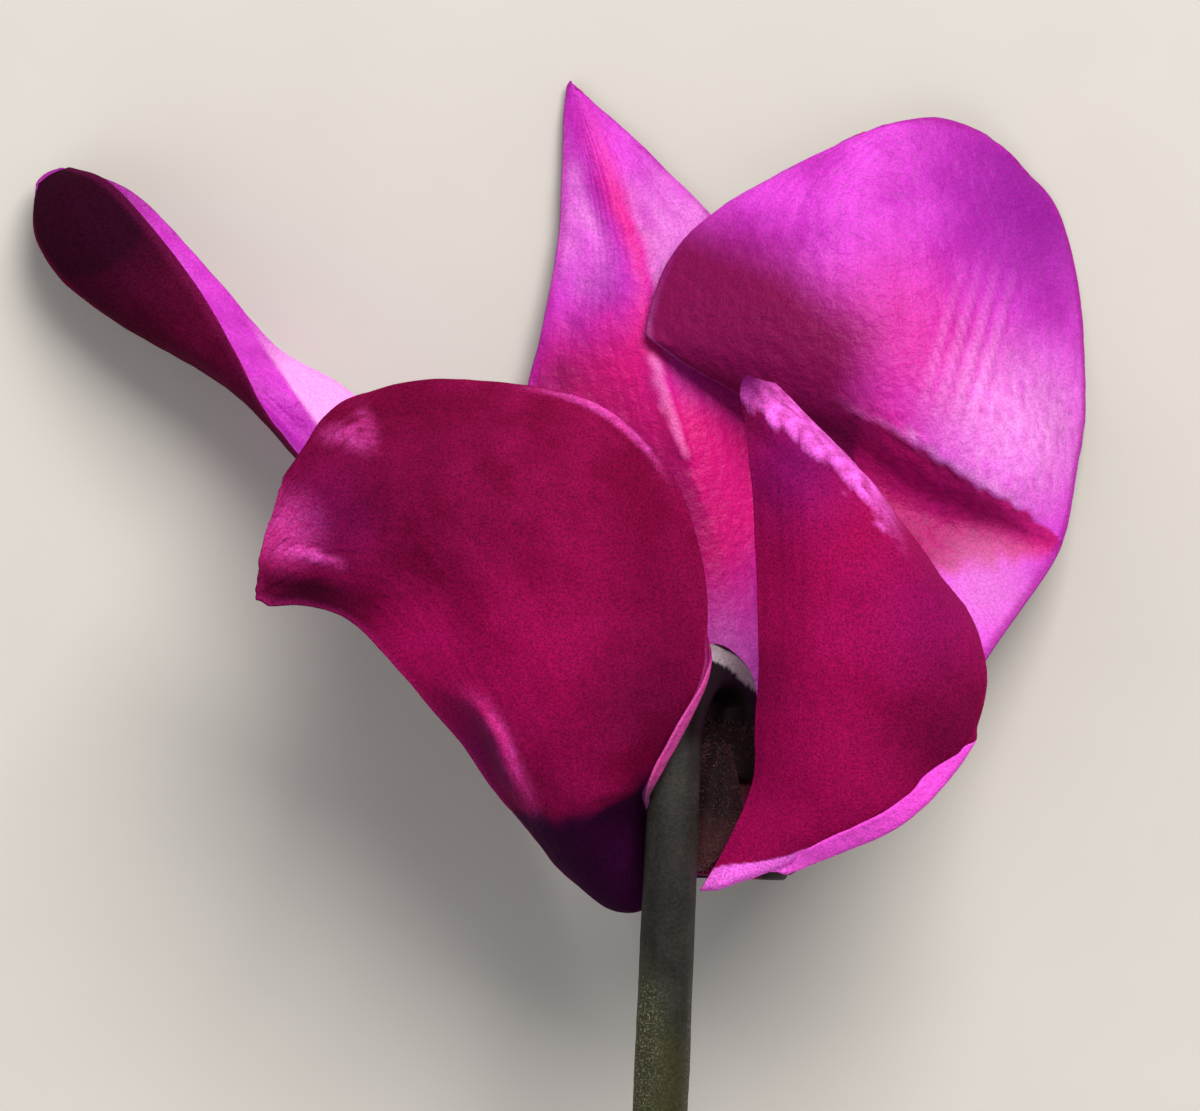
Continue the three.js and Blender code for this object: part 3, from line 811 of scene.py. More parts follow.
# %% Front right petal
FRONT_RIGHT = [
    [[-0.4, 0.6, 4.4], [0.6, 0.6, 4.4], [1.6, 0.7, 4.1], [2.5, 0.8, 3.7], [3.1, 0.9, 3.2]],
    [[-0.9, -0.1, 5.6], [0.2, 0.1, 6.1], [1.3, 0.5, 6.4], [2.3, 0.8, 6.5], [3.1, 1.1, 6.4]],
    [[0.6, 2.5, 6.2], [2, 2.3, 7.2], [3.3, 2.1, 7.8], [4.7, 2, 8], [5.9, 2.1, 7.9]],
    [[2, 5.6, 7], [3.9, 4.9, 8.8], [5.8, 4.2, 9.8], [7.7, 3.6, 9.6], [9.2, 3.4, 8.9]],
    [[2.5, 9, 8], [4.9, 8.3, 10.4], [7.6, 7, 11.6], [10.2, 5.5, 11], [12.1, 4.9, 9.7]],
    [[2.6, 13.5, 9], [5.7, 12.8, 11.9], [9.2, 11, 12.8], [12.1, 8.5, 11.7], [14.2, 6.8, 10]],
    [[2.5, 18.5, 9.6], [6, 17.6, 12.6], [9.9, 15.2, 13.4], [13.2, 12, 12.3], [15.7, 9.2, 10.2]],
    [[2.3, 23.5, 9.8], [5.8, 22.6, 12.6], [10.7, 18.9, 13], [15.2, 13.4, 10.6], [16.6, 12.8, 9.4]],
    [[1.8, 28.3, 9.2], [5.2, 26.2, 11.4], [10.3, 22.2, 11.8], [14.2, 17.4, 9.8], [16.2, 15.2, 8.2]],
    [[1.6, 31.2, 7.4], [5, 28.5, 9.4], [9.6, 24.4, 9.8], [13.6, 19.4, 8.4], [15.6, 16.8, 6.8]],
    [[3.6, 31.2, 4.6], [6.6, 28.2, 6.2], [10.4, 24, 6.6], [13.4, 19.8, 6], [14.8, 17.4, 5.2]],
]

sheet = petal_sheet(FRONT_RIGHT, 5.5, swell=0.16, eye=2.5)

# %% [markdown]
# Its ragged crest
#
# Along the fold the skin is ragged, with a shallow hollow before it, and the light on the crest is painted
# on as a pale highlight. Noise of two sizes frays the line between crest and velvet. At the very top the
# painted highlight turns violet, and the velvet just under the top is painted in shade. A line cut with a
# knife tool would be clean, and this one has to look torn.

# %% Crest
CREST_HEIGHT = 0.3

to_the_right = sheet.grid[..., 0]
roll = beside(sheet.grid, [(1.4, 31.2), (4.9, 28.6), (9.7, 24.4), (13.6, 19.2), (18, 13.4)])
ragged = roll + 0.5 * rough(sheet, 1.1, 41) + 0.25 * rough(sheet, 0.4, 42)
crest = rise(ragged, -0.95, -0.5) * (1 - rise(to_the_right, 8.5, 12)) * rise(sheet.base, 18, 20)
hollow = ridge(roll + 2, 0.9) * (1 - rise(to_the_right, 10, 14))
sheet.height += CREST_HEIGHT * rise(sheet.tip, 2.2, 3.2) * (crest - hollow)
violet_top = near(sheet, 1.8, 31.2, 3)
# Painted highlight on the crest, violet at the very top, and painted shade under the top.
sheet.pale += crest * (0.6 + 0.55 * rough(sheet, 0.8, 43)) * (1 - violet_top)
sheet.plum += 0.8 * violet_top * crest
sheet.dusk += 0.5 * near(sheet, 1.7, 29.8, 3.6) * (1 - 0.5 * crest)
print("points on the crest:", int((crest > 0.5).sum()))

# %% [markdown]
# Its colour and pale foot
#
# The velvet is an even crimson, with painted shade in plum under the crest and in dark crimson on the right
# and beside the stalk. At the foot the pale inner skin has grown round the margin on to the velvet side,
# like a piping. It is nearly flat there, so paint and a very shallow step are enough.

# %% Colour of the front right petal
PIPING_DEPTH = 0.03

sheet.flush += 0.42
# Painted shade: plum under the crest, dark on the right and beside the stalk.
dab(sheet, [
    ("flush", -0.3, 13.5, 10, 8), ("plum", 0.6, 4.8, 26.4, 6.5), ("plum", 0.35, 13.5, 17, 7),
    ("dusk", 0.45, 15, 10, 7.5), ("dusk", 0.4, 2, 12.5, 4),
])
hem_line = beside(sheet.grid, [
    (-3, 0.2), (-0.6, 1), (0.4, 1.4), (2.4, 1.7), (4.4, 2.2), (6.4, 3), (8.4, 3.8), (10.4, 4.8), (12.4, 6),
    (15, 8), (16.6, 10),
])
piping = rise(-hem_line, -0.06, 0.06) * (1 - rise(to_the_right, 6, 7.5))
sheet.pale += piping
sheet.height -= PIPING_DEPTH * piping
settle(sheet)
print("height of the petal in mm:", round(float(np.ptp(sheet.grid[..., 1])), 1))

# %% [markdown]
# Its curled margin
#
# Further out the lower margin really curls up, and its pink inner skin forms a band of about a millimetre,
# the brightest line on the flower: it is painted brighter than the skin, as a glow of light through the
# thin margin. The margin is drawn in first, so that the band ends where the petal's outline is.

# %% Curled margin
HEM_CURL_TURN = 3.35

along = sheet.base[:, -1]
hem_turn = rise(along, 3, 6) * (1 - rise(along, 18.4, 20.4))
hem_flap = 1.4 * rise(along, 4, 9) - 0.45 * rise(along, 12, 15) - 1.1 * rise(along, 15.5, 19.5)
draw_in(sheet, 0.35 * rise(along, 2.5, 4) + 0.25 * rise(along, 6, 9) * hem_turn)
band = curl(sheet, HEM_CURL_TURN * hem_turn, hem_flap)
# The band is painted brighter, as a glow of light through the margin.
sheet.pink += 0.9 * band
make_petal("front_right_petal", "petal_front_right", sheet, left_hem=0, right_hem=0, tip_hem=0)

# %% [markdown]
# Right petal
#
# This petal stands behind on the right and turns its waxy inner side to the viewer. It swells towards
# them: its sections are nearly level in the middle and bend back at both margins. A plane with a few
# bends would miss its outline, which is drawn by the ends of the sections.

# %% Right petal
RIGHT = [
    [[4.4, 0.8, 1.2], [4.6, 0.8, 0.2], [4.5, 0.8, -0.9], [4.3, 0.8, -1.7], [3.9, 0.8, -2.5]],
    [[6, 2, 1.5], [6.4, 1.9, 0.3], [6.4, 1.9, -1.1], [6.1, 1.8, -2.4], [5.5, 1.8, -3.7]],
    [[9.6, 5, 1], [9.2, 5, -0.8], [8.5, 5, -2.5], [7.4, 5.2, -4.1], [6, 5.5, -5.6]],
    [[13.8, 9.6, -0.8], [12.4, 10, -2.4], [10.5, 10.6, -3.8], [8.4, 11.2, -5.2], [5.8, 12, -6.8]],
    [[17.6, 14.9, -4.8], [14.8, 16, -4.8], [12, 17.2, -5.2], [8.8, 18.6, -6], [5.2, 20, -7.4]],
    [[21.3, 19.9, -8.6], [17.6, 21.8, -8.2], [13.5, 23.2, -7.8], [9, 25.8, -7.6], [4.4, 28.6, -8.8]],
    [[22.6, 23, -9.8], [18.4, 24.4, -6.4], [13.9, 26.4, -5.4], [8, 29.6, -5.6], [-3, 33.6, -9.2]],
    [[23.7, 29.5, -12.4], [19.4, 31, -7.8], [13.4, 32.4, -5], [5.8, 34.4, -5.4], [-4.2, 35.3, -9.4]],
    [[23.6, 36.5, -13.8], [19, 38, -9.6], [13, 39.2, -6.4], [5.5, 40.2, -6.4], [-2.4, 40, -9.6]],
    [[21.8, 43.2, -13.9], [17.8, 43.9, -11], [12.6, 44.6, -8.6], [7, 44.5, -8], [2, 43.5, -9.2]],
    [[17.4, 47.4, -12.8], [15.8, 48, -11.6], [14, 48.4, -10.6], [11.6, 48.1, -9.9], [9, 47.2, -9.4]],
]

sheet = petal_sheet(RIGHT, 9.5)

# %% [markdown]
# Its crease and pleats
#
# A sharp crease runs across the petal where it bent back over its neighbour. Above the crease the skin
# keeps fine pleats from the bud, a little over a millimetre apart, and blisters between the veins. A tanh
# of the distance makes the step of the crease: steep on the line and level on both sides. Heights are
# counted towards the outer face and here the inner one is seen, so what stands nearer to the viewer is
# subtracted.

# %% Crease and pleats
CREASE_STEP = 0.28
PLEAT_HEIGHT = 0.14
PLEAT_SPACING = 1.1
PLEATED_WIDTH = 6.8
SMALL_BLISTER_HEIGHT = 0.12

crease = beside(sheet.grid, [(6.5, 30.6), (8.1, 29.9), (11.9, 28.1), (16.1, 25.2), (18.8, 24), (21.6, 21.9)])
crease += 0.35 * rough(sheet, 0.9, 50)
by_crease = near(sheet, 14.5, 26.5, 9)
pleat_line = beside(sheet.grid, [(14.4, 27), (18.4, 40)])
pleats = np.cos(2 * math.pi * pleat_line / PLEAT_SPACING)
pleats *= rise(PLEATED_WIDTH / 2 - abs(pleat_line - 0.5), 0, 2)
pleats *= rise(crease, 0.5, 2) * near(sheet, 16.8, 33, 8)
blisters = rough(sheet, 0.55, 51, 1.2)
sheet.height -= CREASE_STEP * np.tanh(crease / 0.2) * by_crease + PLEAT_HEIGHT * pleats
sheet.height += SMALL_BLISTER_HEIGHT * blisters * near(sheet, 17.5, 31, 11)
print("pleats on the petal:", round(PLEATED_WIDTH / PLEAT_SPACING))

# %% [markdown]
# Its colour
#
# This petal has the most colours: painted shade in crimson in the corner behind its neighbour and in the
# valley under the crease, violet at the top, and painted highlights where the light falls on the pleats,
# along the crease and on the lower lobe. Each is a soft step beside a line, or a dab.

# %% Colour of the right petal
corner = -beside(sheet.grid, [(-0.9, 41.6), (5.2, 39), (9.6, 34.6), (9.2, 29.9)])
valley = beside(sheet.grid, [(8.6, 23.6), (10.2, 22.8), (13.6, 19.6), (17.6, 20.4), (21, 20.8)])
valley += 0.8 * rough(sheet, 1.4, 53)
below = rise(-crease, -0.12, 0.12) * rise(valley, -0.9, 0.5)
to_the_right = sheet.grid[..., 0]
# Rose and painted crimson shade in the valley under the crease, and painted shade in the corner.
sheet.rose += 0.9 * below
sheet.flush += rise(corner, -3, 2.4)
sheet.flush += below * (0.6 - 0.2 * rise(to_the_right, 16, 21)) * (1 + 0.3 * rough(sheet, 0.7, 54))
# Painted highlights on the lit lobe above the crease, along the crease and on the pleats; a pale line along
# the lower-left margin.
sheet.pale += 0.62 * (1 + 0.7 * blisters) * near(sheet, 19.3, 28.6, 8) * rise(crease, -0.1, 0.2)
sheet.pale += 0.35 * ridge(crease - 0.3, 0.25) * by_crease * (1 + rough(sheet, 0.6, 52))
sheet.pale += 0.5 * (1 - rise(sheet.right, 0.1, 0.45)) * near(sheet, 0, 33, 7) + 0.3 * np.clip(pleats, 0, 1)
# Dabs of rose, one of them painted light in the shade beside the front petal's crest, a painted highlight on
# the lower lobe, and darker violet at the top.
dab(sheet, [
    ("rose", 0.5, 12, 34, 9), ("rose", 0.8, 9.4, 26.8, 5), ("flush", 0.15, 13.5, 35.5, 8),
    ("pale", 0.35, 17, 18.5, 5), ("dusk", 1.0, 20.5, 45, 11), ("dusk", 0.3, 20.5, 38.5, 8),
])
settle(sheet)
make_petal("right_petal", "petal_right", sheet, right_hem=0.3)

# %% [markdown]
# Back petal
#
# The back petal rises between the others to a sharp point and shows the inner skin. It is bent back a
# little on both sides of its midrib, so the middle point of each section lies nearest to the camera. Its
# last section is very narrow, which makes the point.

# %% Back petal
BACK = [
    [[2.2, 0.9, -3.9], [1.3, 0.9, -4.3], [0.2, 0.9, -4.5], [-0.7, 0.9, -4.4], [-1.5, 0.9, -4.2]],
    [[3.6, 1, -6.1], [2.2, 0.7, -6.7], [0.5, 0.7, -7], [-1.1, 0.7, -6.9], [-2.5, 0.9, -6.5]],
    [[5, 6, -9.6], [3, 5.6, -9.4], [0.6, 5.4, -9.2], [-2, 5.6, -9.3], [-4.4, 6, -9.4]],
    [[6, 14, -12], [3.2, 14, -11], [0.2, 13.8, -10], [-3.4, 14.2, -10.6], [-7, 14.6, -11.2]],
    [[6.8, 22, -12.8], [3.2, 22.2, -11.8], [-0.9, 22.4, -10.2], [-5.2, 22.8, -11], [-10, 23.4, -11.6]],
    [[6.6, 29, -13.2], [2.6, 28.8, -12], [-1.7, 28.4, -10.2], [-6.4, 28.8, -11], [-11.8, 29.8, -11.8]],
    [[5.2, 34.5, -13.4], [1.6, 34.6, -12.4], [-3.9, 34.6, -10.6], [-7.4, 34.6, -11], [-10.8, 35, -12]],
    [[2.2, 39.4, -13.2], [-1, 39.6, -12.6], [-5, 39.8, -11.2], [-7.4, 40, -11.6], [-9.9, 40.4, -12.4]],
    [[-1.6, 43.9, -13.2], [-3.8, 44.5, -12.8], [-6.4, 45.1, -12], [-8, 45.3, -12.4], [-9.6, 45.5, -12.8]],
    [[-8.6, 50.5, -13.4], [-8.8, 50.7, -13.4], [-9, 50.9, -13.4], [-9.2, 50.8, -13.4], [-9.4, 50.6, -13.5]],
]

sheet = petal_sheet(BACK, 13.5)

# %% [markdown]
# Its fold and keel
#
# The fold is a soft ridge from the middle of the petal up to its point. Below it the midrib stands out as
# a short narrow keel. Both are lines with a width, one wide and one thin, and the lumps beside them come
# from the noise that also mottles the paint. The inner face is seen here too, so both are subtracted.

# %% Fold and keel
SPINE_HEIGHT = 0.25
KEEL_HEIGHT = 0.4
LUMP_HEIGHT = 0.1

up = sheet.grid[..., 1]
fold = beside(sheet.grid, [(-3.9, 33), (-4.6, 36.8), (-5.2, 40), (-6.4, 43), (-7.6, 46.5), (-9, 50.4)])
fold += 0.3 * rough(sheet, 1.6, 60)
by_fold = near(sheet, -6, 41.5, 11)
keel = beside(sheet.grid, [(-3.9, 33.4), (-3.2, 31), (-2.4, 28.7), (-1.7, 26.8)])
by_keel = rise(-up, -33.8, -32.8) * rise(up, 26, 27.6)
half_width = 0.16 + 0.3 * rise(up, 26, 30)
on_keel = (1 - rise(abs(keel) + 0.25 * rough(sheet, 0.45, 62, 2), 0.02, half_width)) * by_keel
lumps = rough(sheet, 1.3, 63, 1.8)
sheet.height -= SPINE_HEIGHT * ridge(fold, 0.9) * by_fold + KEEL_HEIGHT * ridge(keel, 0.5) * by_keel
sheet.height += LUMP_HEIGHT * lumps * near(sheet, -6.5, 38, 11)
print("points on the keel:", int((on_keel > 0.5).sum()))

# %% [markdown]
# Its colour
#
# The petal has a painted glow of rose low down and along the fold, painted crimson shade left of the keel
# and dusky shade beside the fold, and painted highlights on both halves near the point. The keel is a lit
# line in the crimson, so the crimson is taken away from it before its highlight is painted.

# %% Colour of the back petal
along_fold = ridge(fold + 0.3, 0.8) * by_fold
right_half = rise(-fold, 0.5, 1.2) * rise(up, 31.5, 33.5)
left_half = rise(fold, 0.6, 1.8)
low = near(sheet, -2.5, 23, 14)
# A painted glow of light through the petal, low down and along the fold.
sheet.rose += 0.9 * low + 0.75 * along_fold
dab(sheet, [("rose", 0.7, -0.8, 26, 9), ("rose", 0.9, -8, 31.5, 7), ("rose", 0.5, -4.8, 34.5, 4)])
# Crimson, painted shade left of the keel, and none on the keel.
sheet.flush += 0.85 * near(sheet, -5.5, 24, 9) * rise(-keel, -0.6, 0.2) * (1 - on_keel)
sheet.flush += 0.7 * near(sheet, -9.5, 31, 6.5) * (1 + 0.6 * lumps) + 0.25 * low
sheet.flush *= 1 - on_keel
# Painted shade beside the fold and on the left half, and a darker spot low down.
sheet.dusk += 0.2 * ridge(fold - 1, 0.9) * by_fold
sheet.dusk += 0.35 * near(sheet, -6.8, 36, 4.5) * left_half * (1 + lumps) + 0.3 * near(sheet, 0.4, 13, 5)
# Painted highlights on both halves near the point and along the keel, and a little pale low down.
sheet.pale += (0.42 + 0.35 * lumps) * right_half * near(sheet, -2.1, 40, 8)
sheet.pale += (0.34 + 0.35 * lumps) * left_half * near(sheet, -8.2, 43.4, 8.5)
sheet.pale += 0.34 * on_keel * (1 + 0.5 * lumps) + 0.14 * near(sheet, 0.4, 14, 6) * (1 + 0.8 * lumps)
settle(sheet)
make_petal("back_petal", "petal_back", sheet, left_hem=0.6, right_hem=0.6)

# %% [markdown]
# Left petal
#
# The left petal is long and folded along its midrib, like a V that lies on its side. The half on top
# turns its velvet side to the viewer. Past it the half beneath shows the waxy inner side, as a bright
# strip that narrows towards the tip. A flat sheet could be folded by a modifier, but here each section is
# simply drawn as such a V.

# %% Left petal
LEFT = [
    [[-2.9, 0.9, -3.4], [-3.6, 0.9, -2.7], [-4.1, 0.9, -1.9], [-4.4, 0.9, -1.1], [-4.5, 0.9, -0.4]],
    [[-4.4, 1, -5], [-5.3, 0.9, -4], [-6, 0.8, -2.8], [-6.5, 0.8, -1.7], [-6.7, 0.9, -0.6]],
    [[-8.2, 6.5, -8.2], [-9.4, 6, -7], [-10.6, 5.6, -5.2], [-11, 5.8, -3.2], [-10.6, 6.4, -1.4]],
    [[-13.4, 16, -11], [-15, 14.8, -9.6], [-16.6, 14, -7.4], [-16.6, 14.4, -4.8], [-15.6, 15.6, -2.4]],
    [[-18.4, 26, -12.4], [-20.8, 24.4, -10.8], [-22.6, 23.4, -8.6], [-23.2, 23.2, -5.8], [-23, 23.6, -3.4]],
    [[-23.2, 31.2, -13.2], [-25.6, 30, -9.4], [-27.6, 29.2, -8.8], [-28, 28.8, -6.2], [-27.7, 28.9, -4]],
    [[-27.8, 34, -13.7], [-29.4, 33, -10.4], [-31.2, 31.9, -8.4], [-31, 31.9, -5.4], [-29.8, 32.6, -3.6]],
    [[-31.6, 38.2, -13.9], [-35, 36.3, -11.2], [-37, 35, -8.6], [-35.7, 35.6, -5.8], [-32.6, 37.4, -4.6]],
    [[-36, 42.9, -13.9], [-39.4, 40.3, -11.8], [-41.1, 38, -9.4], [-39.3, 39.9, -7.2], [-36.2, 42, -6.6]],
    [[-38.6, 44.6, -13.4], [-41.6, 42.7, -12], [-43, 41, -10.4], [-41.2, 42.8, -9.2], [-38.6, 44.4, -9]],
    [[-41.6, 45.3, -13], [-42.6, 44.8, -12.4], [-43.2, 44.2, -11.8], [-42.2, 44.9, -11.4], [-41, 45.3, -11.4]],
]

sheet = petal_sheet(LEFT, 17.5, ruffle=0.2, swell=0.2)

# %% [markdown]
# Its two halves
#
# The half nearer to the viewer lies in shade, which is painted on and almost black towards the tip, and
# the tip is painted dark on both halves. In the far half one facet catches the light and is painted nearly
# white, as a highlight. It begins at a straight edge: a soft step beside a line, which sets the skin back a
# little, with the painted highlight beyond it. A separate face with its own material would end too hard.

# %% Two halves of the left petal
FACET_STEP = 0.3

near_half = rise(sheet.side, -0.5, 1) * rise(sheet.base, 20, 28)
far_half = 1 - near_half
by_tip = near(sheet, -40.5, 43.6, 6)
facet = beside(sheet.grid, [(-29.2, 34.6), (-28.6, 33.6), (-25.2, 28.9), (-24.4, 27.6)])
# Painted shade on the near half and at the tip.
sheet.dusk += (0.62 + 0.38 * near(sheet, -40, 42, 13)) * near_half + by_tip
sheet.flush += by_tip * far_half
sheet.height += FACET_STEP * rise(facet, -0.1, 0.3) * near(sheet, -26, 31.3, 6) * far_half
# Painted highlights on the lit facet and low on the far half.
sheet.pale += 1.4 * rise(facet, -0.15, 0.15) * near(sheet, -25, 31.3, 7) * far_half
sheet.pale += 0.25 * near(sheet, -22, 25.5, 6) * far_half
settle(sheet)
make_petal("left_petal", "petal_left", sheet, left_hem=0.1, right_hem=0.15, tip_hem=0)

# %% [markdown]
# Round pieces
#
# The stalk and the parts of the heart are all round, built ring by ring: each ring can have its own
# radius and its own slight unevenness. A curve with a bevel would give an even pipe, and a lathe an even
# pot. Rings along a line are turned as little as possible from one to the next, so that the walls between
# them don't twist.

# %% Rings of points
def unit_rings(line, sides):
    """Spokes of length 1 round each point of a line, turned as little as possible from the last ones."""
    ways = unit(np.gradient(line, axis=0))
    across = unit(np.cross(ways[0], [0, 0, 1]))
    angles = even(sides)[:-1, None] * 2 * math.pi
    spokes = []
    for way in ways:
        across = unit(across - way * (across @ way))
        spokes.append(np.cos(angles) * across + np.sin(angles) * np.cross(way, across))
    return np.array(spokes)


def closed_rings(rings):
    """Points and faces of a solid from rings of points. Its first and last ring shrink to a point."""
    body = rings[1:-1]
    count, sides = body.shape[:2]
    number = np.arange(count * sides).reshape(count, sides)
    after = np.roll(number, -1, axis=1)
    walls = np.stack([number[:-1], after[:-1], after[1:], number[1:]], axis=2).reshape(-1, 4).tolist()
    start, end = count * sides, count * sides + 1
    caps = [[start, b, a] for a, b in zip(number[0], after[0])]
    caps += [[end, a, b] for a, b in zip(number[-1], after[-1])]
    points = np.concatenate([body.reshape(-1, 3), [rings[0].mean(axis=0), rings[-1].mean(axis=0)]])
    return points, walls + caps


print("spokes in a ring of 4:", np.round(unit_rings(np.array([[0, 0, 0], [0, 1.0, 0]]), 4)[0], 1).tolist())

# %% [markdown]
# The stalk's skin
#
# The flower stalk is a fleshy stem with a satin skin, taupe where it shows beside the petals. Where it
# hooks over into the calyx it turns a near-black maroon, partly its own colour and partly painted shade,
# with a painted highlight of pale grey along the top of the hook. Lower down it is olive, where small
# glands and flakes of skin catch the light as a pale grit. The glands are a little over a tenth of a
# millimetre wide, which just shows in the render. The cells of the skin are about 0.07 mm wide, so they are
# drawn three times as coarse.

# %% Stalk skin
# The near-black maroon is partly painted shade, and the pale grey is a painted highlight on top of the hook.
stalk_skin = living_skin("satin_stalk_skin", SimpleNamespace(
    dark="#201e1c", light="#2c2a27", mottle_size=2.5,
    layers=[
        ("olive", 1.0, "#34331f"), ("maroon", 1.0, "#0e0306"), ("scurf", 0.9, "#9c9298"),
        ("rind", 1.0, "#66703f"), ("pith", 1.0, "#b9bd93"),
    ],
    specks=[("glands", 0.13, "#8a8a72")],
    grain_size=0.22, grain=0.3, pucker_size=1.2, pucker=0.6, grain_depth=0.03,
    roughness=0.5, gloss=0.13, bloom=0.0, bloom_tint="#b8a8a8", translucence=0.03,
))

# %% [markdown]
# The stalk's shape
#
# The stem thickens towards the plant and has seven faint ridges, slow lumps, and on its olive part a
# scaly skin. It was cut, so its end is flat: pale pith inside, a ring of vessels, and a green rind. The
# route is a smooth line through a few points, from the cut end along the table and up over the hook.

# %% Stalk
STALK_ROUTE = [
    [-7.5, -86, -12.4], [-6.9, -70, -12.2], [-5.6, -50, -8.5], [-4.3, -30, -1.5], [-3.5, -14, 3.8],
    [-3, -2, 6.9], [-2.7, 5, 7.3], [-2.5, 9.6, 6.9], [-1.6, 12.6, 5.4], [-0.4, 13.5, 3.3],
    [0.6, 12.9, 1.2], [0.95, 11.7, 0.2], [0.9, 10.2, 0],
]
STALK_RADII = [1.7, 1.74, 1.78, 1.76, 1.72, 1.66, 1.62, 1.6, 1.6, 1.6, 1.6, 1.65, 1.75]
STALK_STEPS = 420
STALK_SIDES = 40
RIDGES = 7
RIDGE_HEIGHT = 0.03
STEM_LUMP_HEIGHT = 0.06
SCALE_HEIGHT = 0.035
# Share of the radius and depth in mm of each ring on the cut end: pith, ring of vessels, rind, rounded rim.
CUT_END = [(0, 0.15), (0.3, 0.1), (0.55, 0.04), (0.64, 0.09), (0.72, 0.02), (0.94, 0)]

line = smooth_line(STALK_ROUTE, even(STALK_STEPS))
radii = smooth_line(STALK_RADII, even(STALK_STEPS))
travelled = np.concatenate([[0], np.cumsum(np.linalg.norm(np.diff(line, axis=0), axis=1))])
angles = even(STALK_SIDES)[:-1] * 2 * math.pi


def stalk_noise(round_it, length):
    """Soft noise over the stalk: round_it is how fast it changes round the stem, length its size along it."""
    values = [
        noise.noise((round_it * math.cos(angle), round_it * math.sin(angle), way / length))
        for way in travelled for angle in angles
    ]
    return np.array(values).reshape(len(travelled), STALK_SIDES)


spokes = unit_rings(line, STALK_SIDES)
height_on_stem = line[:, 1:2]
scaly = 1 - rise(height_on_stem + 3 * spokes[..., 0], -11, -4)
lumps = RIDGE_HEIGHT * np.cos(RIDGES * angles + 0.4 * np.sin(travelled / 11)[:, None])
lumps += STEM_LUMP_HEIGHT * stalk_noise(2, 4) + SCALE_HEIGHT * scaly * stalk_noise(1.6, 0.7)
rings = line[:, None] + spokes * (radii[:, None] + lumps)[..., None]
way_in = (line[1] - line[0]) / travelled[1]
rings[0] += 0.1 * way_in
cut_rings = [line[0] + share * (rings[0] - line[0]) + depth * way_in for share, depth in CUT_END]
top = line[-1] + 0 * rings[-1]
points, faces = closed_rings(np.concatenate([cut_rings, rings, [top]]))
stalk = make_object("stalk", points, faces, [stalk_skin])
print("length of the stalk in mm:", round(float(travelled[-1]), 1))

# %% [markdown]
# The stalk's marks
#
# The dark maroon, partly painted shade, depends only on the way along the stem, so it has one value for
# each ring. The painted highlight on top of the hook and the grit on the sides also depend on which way
# the skin faces, so they have a value for each spoke. The rings of the cut end are painted by their share
# of the radius. Texture paint would do too, but these few rules keep the paint where the shape is.

# %% Stalk's marks
# How far before the end in the calyx the dark maroon and painted shade begins and is full, in mm.
MAROON_AND_SHADE_BEGINS = 13.4
MAROON_AND_SHADE_FULL = 11.6

on_cut = len(CUT_END) - 1


def on_stem(values):
    """A mark of 0 on the cut end and of the given values, for each ring or each spoke, on the stem."""
    values = np.broadcast_to(np.asarray(values, float).reshape(len(line), -1), (len(line), STALK_SIDES))
    return np.concatenate([np.zeros(on_cut * STALK_SIDES), values.ravel(), [0, values[-1, 0]]])


def on_cut_end(low, high):
    """A mark on the rings of the cut end whose share of the radius lies between two limits."""
    marked = [float(low <= share <= high) for share, _ in CUT_END]
    on_rings = np.repeat(marked[1:], STALK_SIDES)
    return np.concatenate([on_rings, np.zeros(len(line) * STALK_SIDES), [marked[0], 0]])


store(stalk, "maroon", on_stem(rise(travelled, travelled[-1] - MAROON_AND_SHADE_BEGINS, travelled[-1] - MAROON_AND_SHADE_FULL)))
# A painted highlight along the top of the hook, only on the side that faces the camera.
top_edge = abs(beside(points, [(-0.8, 14.9), (1, 14), (2.6, 12.6)]))
top_edge += 0.06 * np.array([noise.noise((2 * x, 2 * y, 2 * z)) for x, y, z in points])
store(stalk, "scurf", (1 - rise(top_edge, 0.4, 0.5)) * rise(on_stem(spokes[..., 2]), -0.05, 0.1))
store(stalk, "olive", on_stem(scaly))
sides = rise(-spokes[..., 0], -0.4, 0.9) + 0.8 * rise(spokes[..., 0], 0.8, 0.97)
store(stalk, "glands", on_stem(0.65 * sides * (1 - rise(height_on_stem, -7.5, -4))))
store(stalk, "rind", on_cut_end(0.5, 1))
store(stalk, "pith", on_cut_end(0, 0.6))
take_place(stalk, "flower_stalk")

# %% [markdown]
# The heart of the flower
#
# Behind the petals sit the small parts that they all belong to: the receptacle, a cup in which the stalk
# ends; five sepals, the hairy little leaves of the calyx; the corolla's tube, a short urn with a round
# lip that the petals grow from; and inside it five stamens round a pistil. All of them stand round one
# axis, which leans a little, so they are drawn round an upright axis first and leaned at the end.

# %% Turned shapes
HEART_LEAN = math.radians(-4.8)


def leaned(points):
    """Points of the upright heart, leaned as it hangs on its stalk."""
    x, y, z = np.moveaxis(np.asarray(points, float), -1, 0)
    cos, sin = math.cos(HEART_LEAN), math.sin(HEART_LEAN)
    return np.stack([x * cos - y * sin, x * sin + y * cos, z], axis=-1)


def turned(profile, steps, sides, shape):
    """Rings about the upright axis, from a profile of radius and height.

    shape gives the share of the radius at an angle and a height.
    """
    line = smooth_line(profile, even(steps))
    angles = even(sides)[:-1] * 2 * math.pi
    radius = line[:, :1] * shape(angles, line[:, 1:])
    height = line[:, 1:] + 0 * radius
    return np.stack([radius * np.sin(angles), height, radius * np.cos(angles)], axis=2)


print("top of the heart leans to", np.round(leaned([0, 10.3, 0]), 2).tolist())

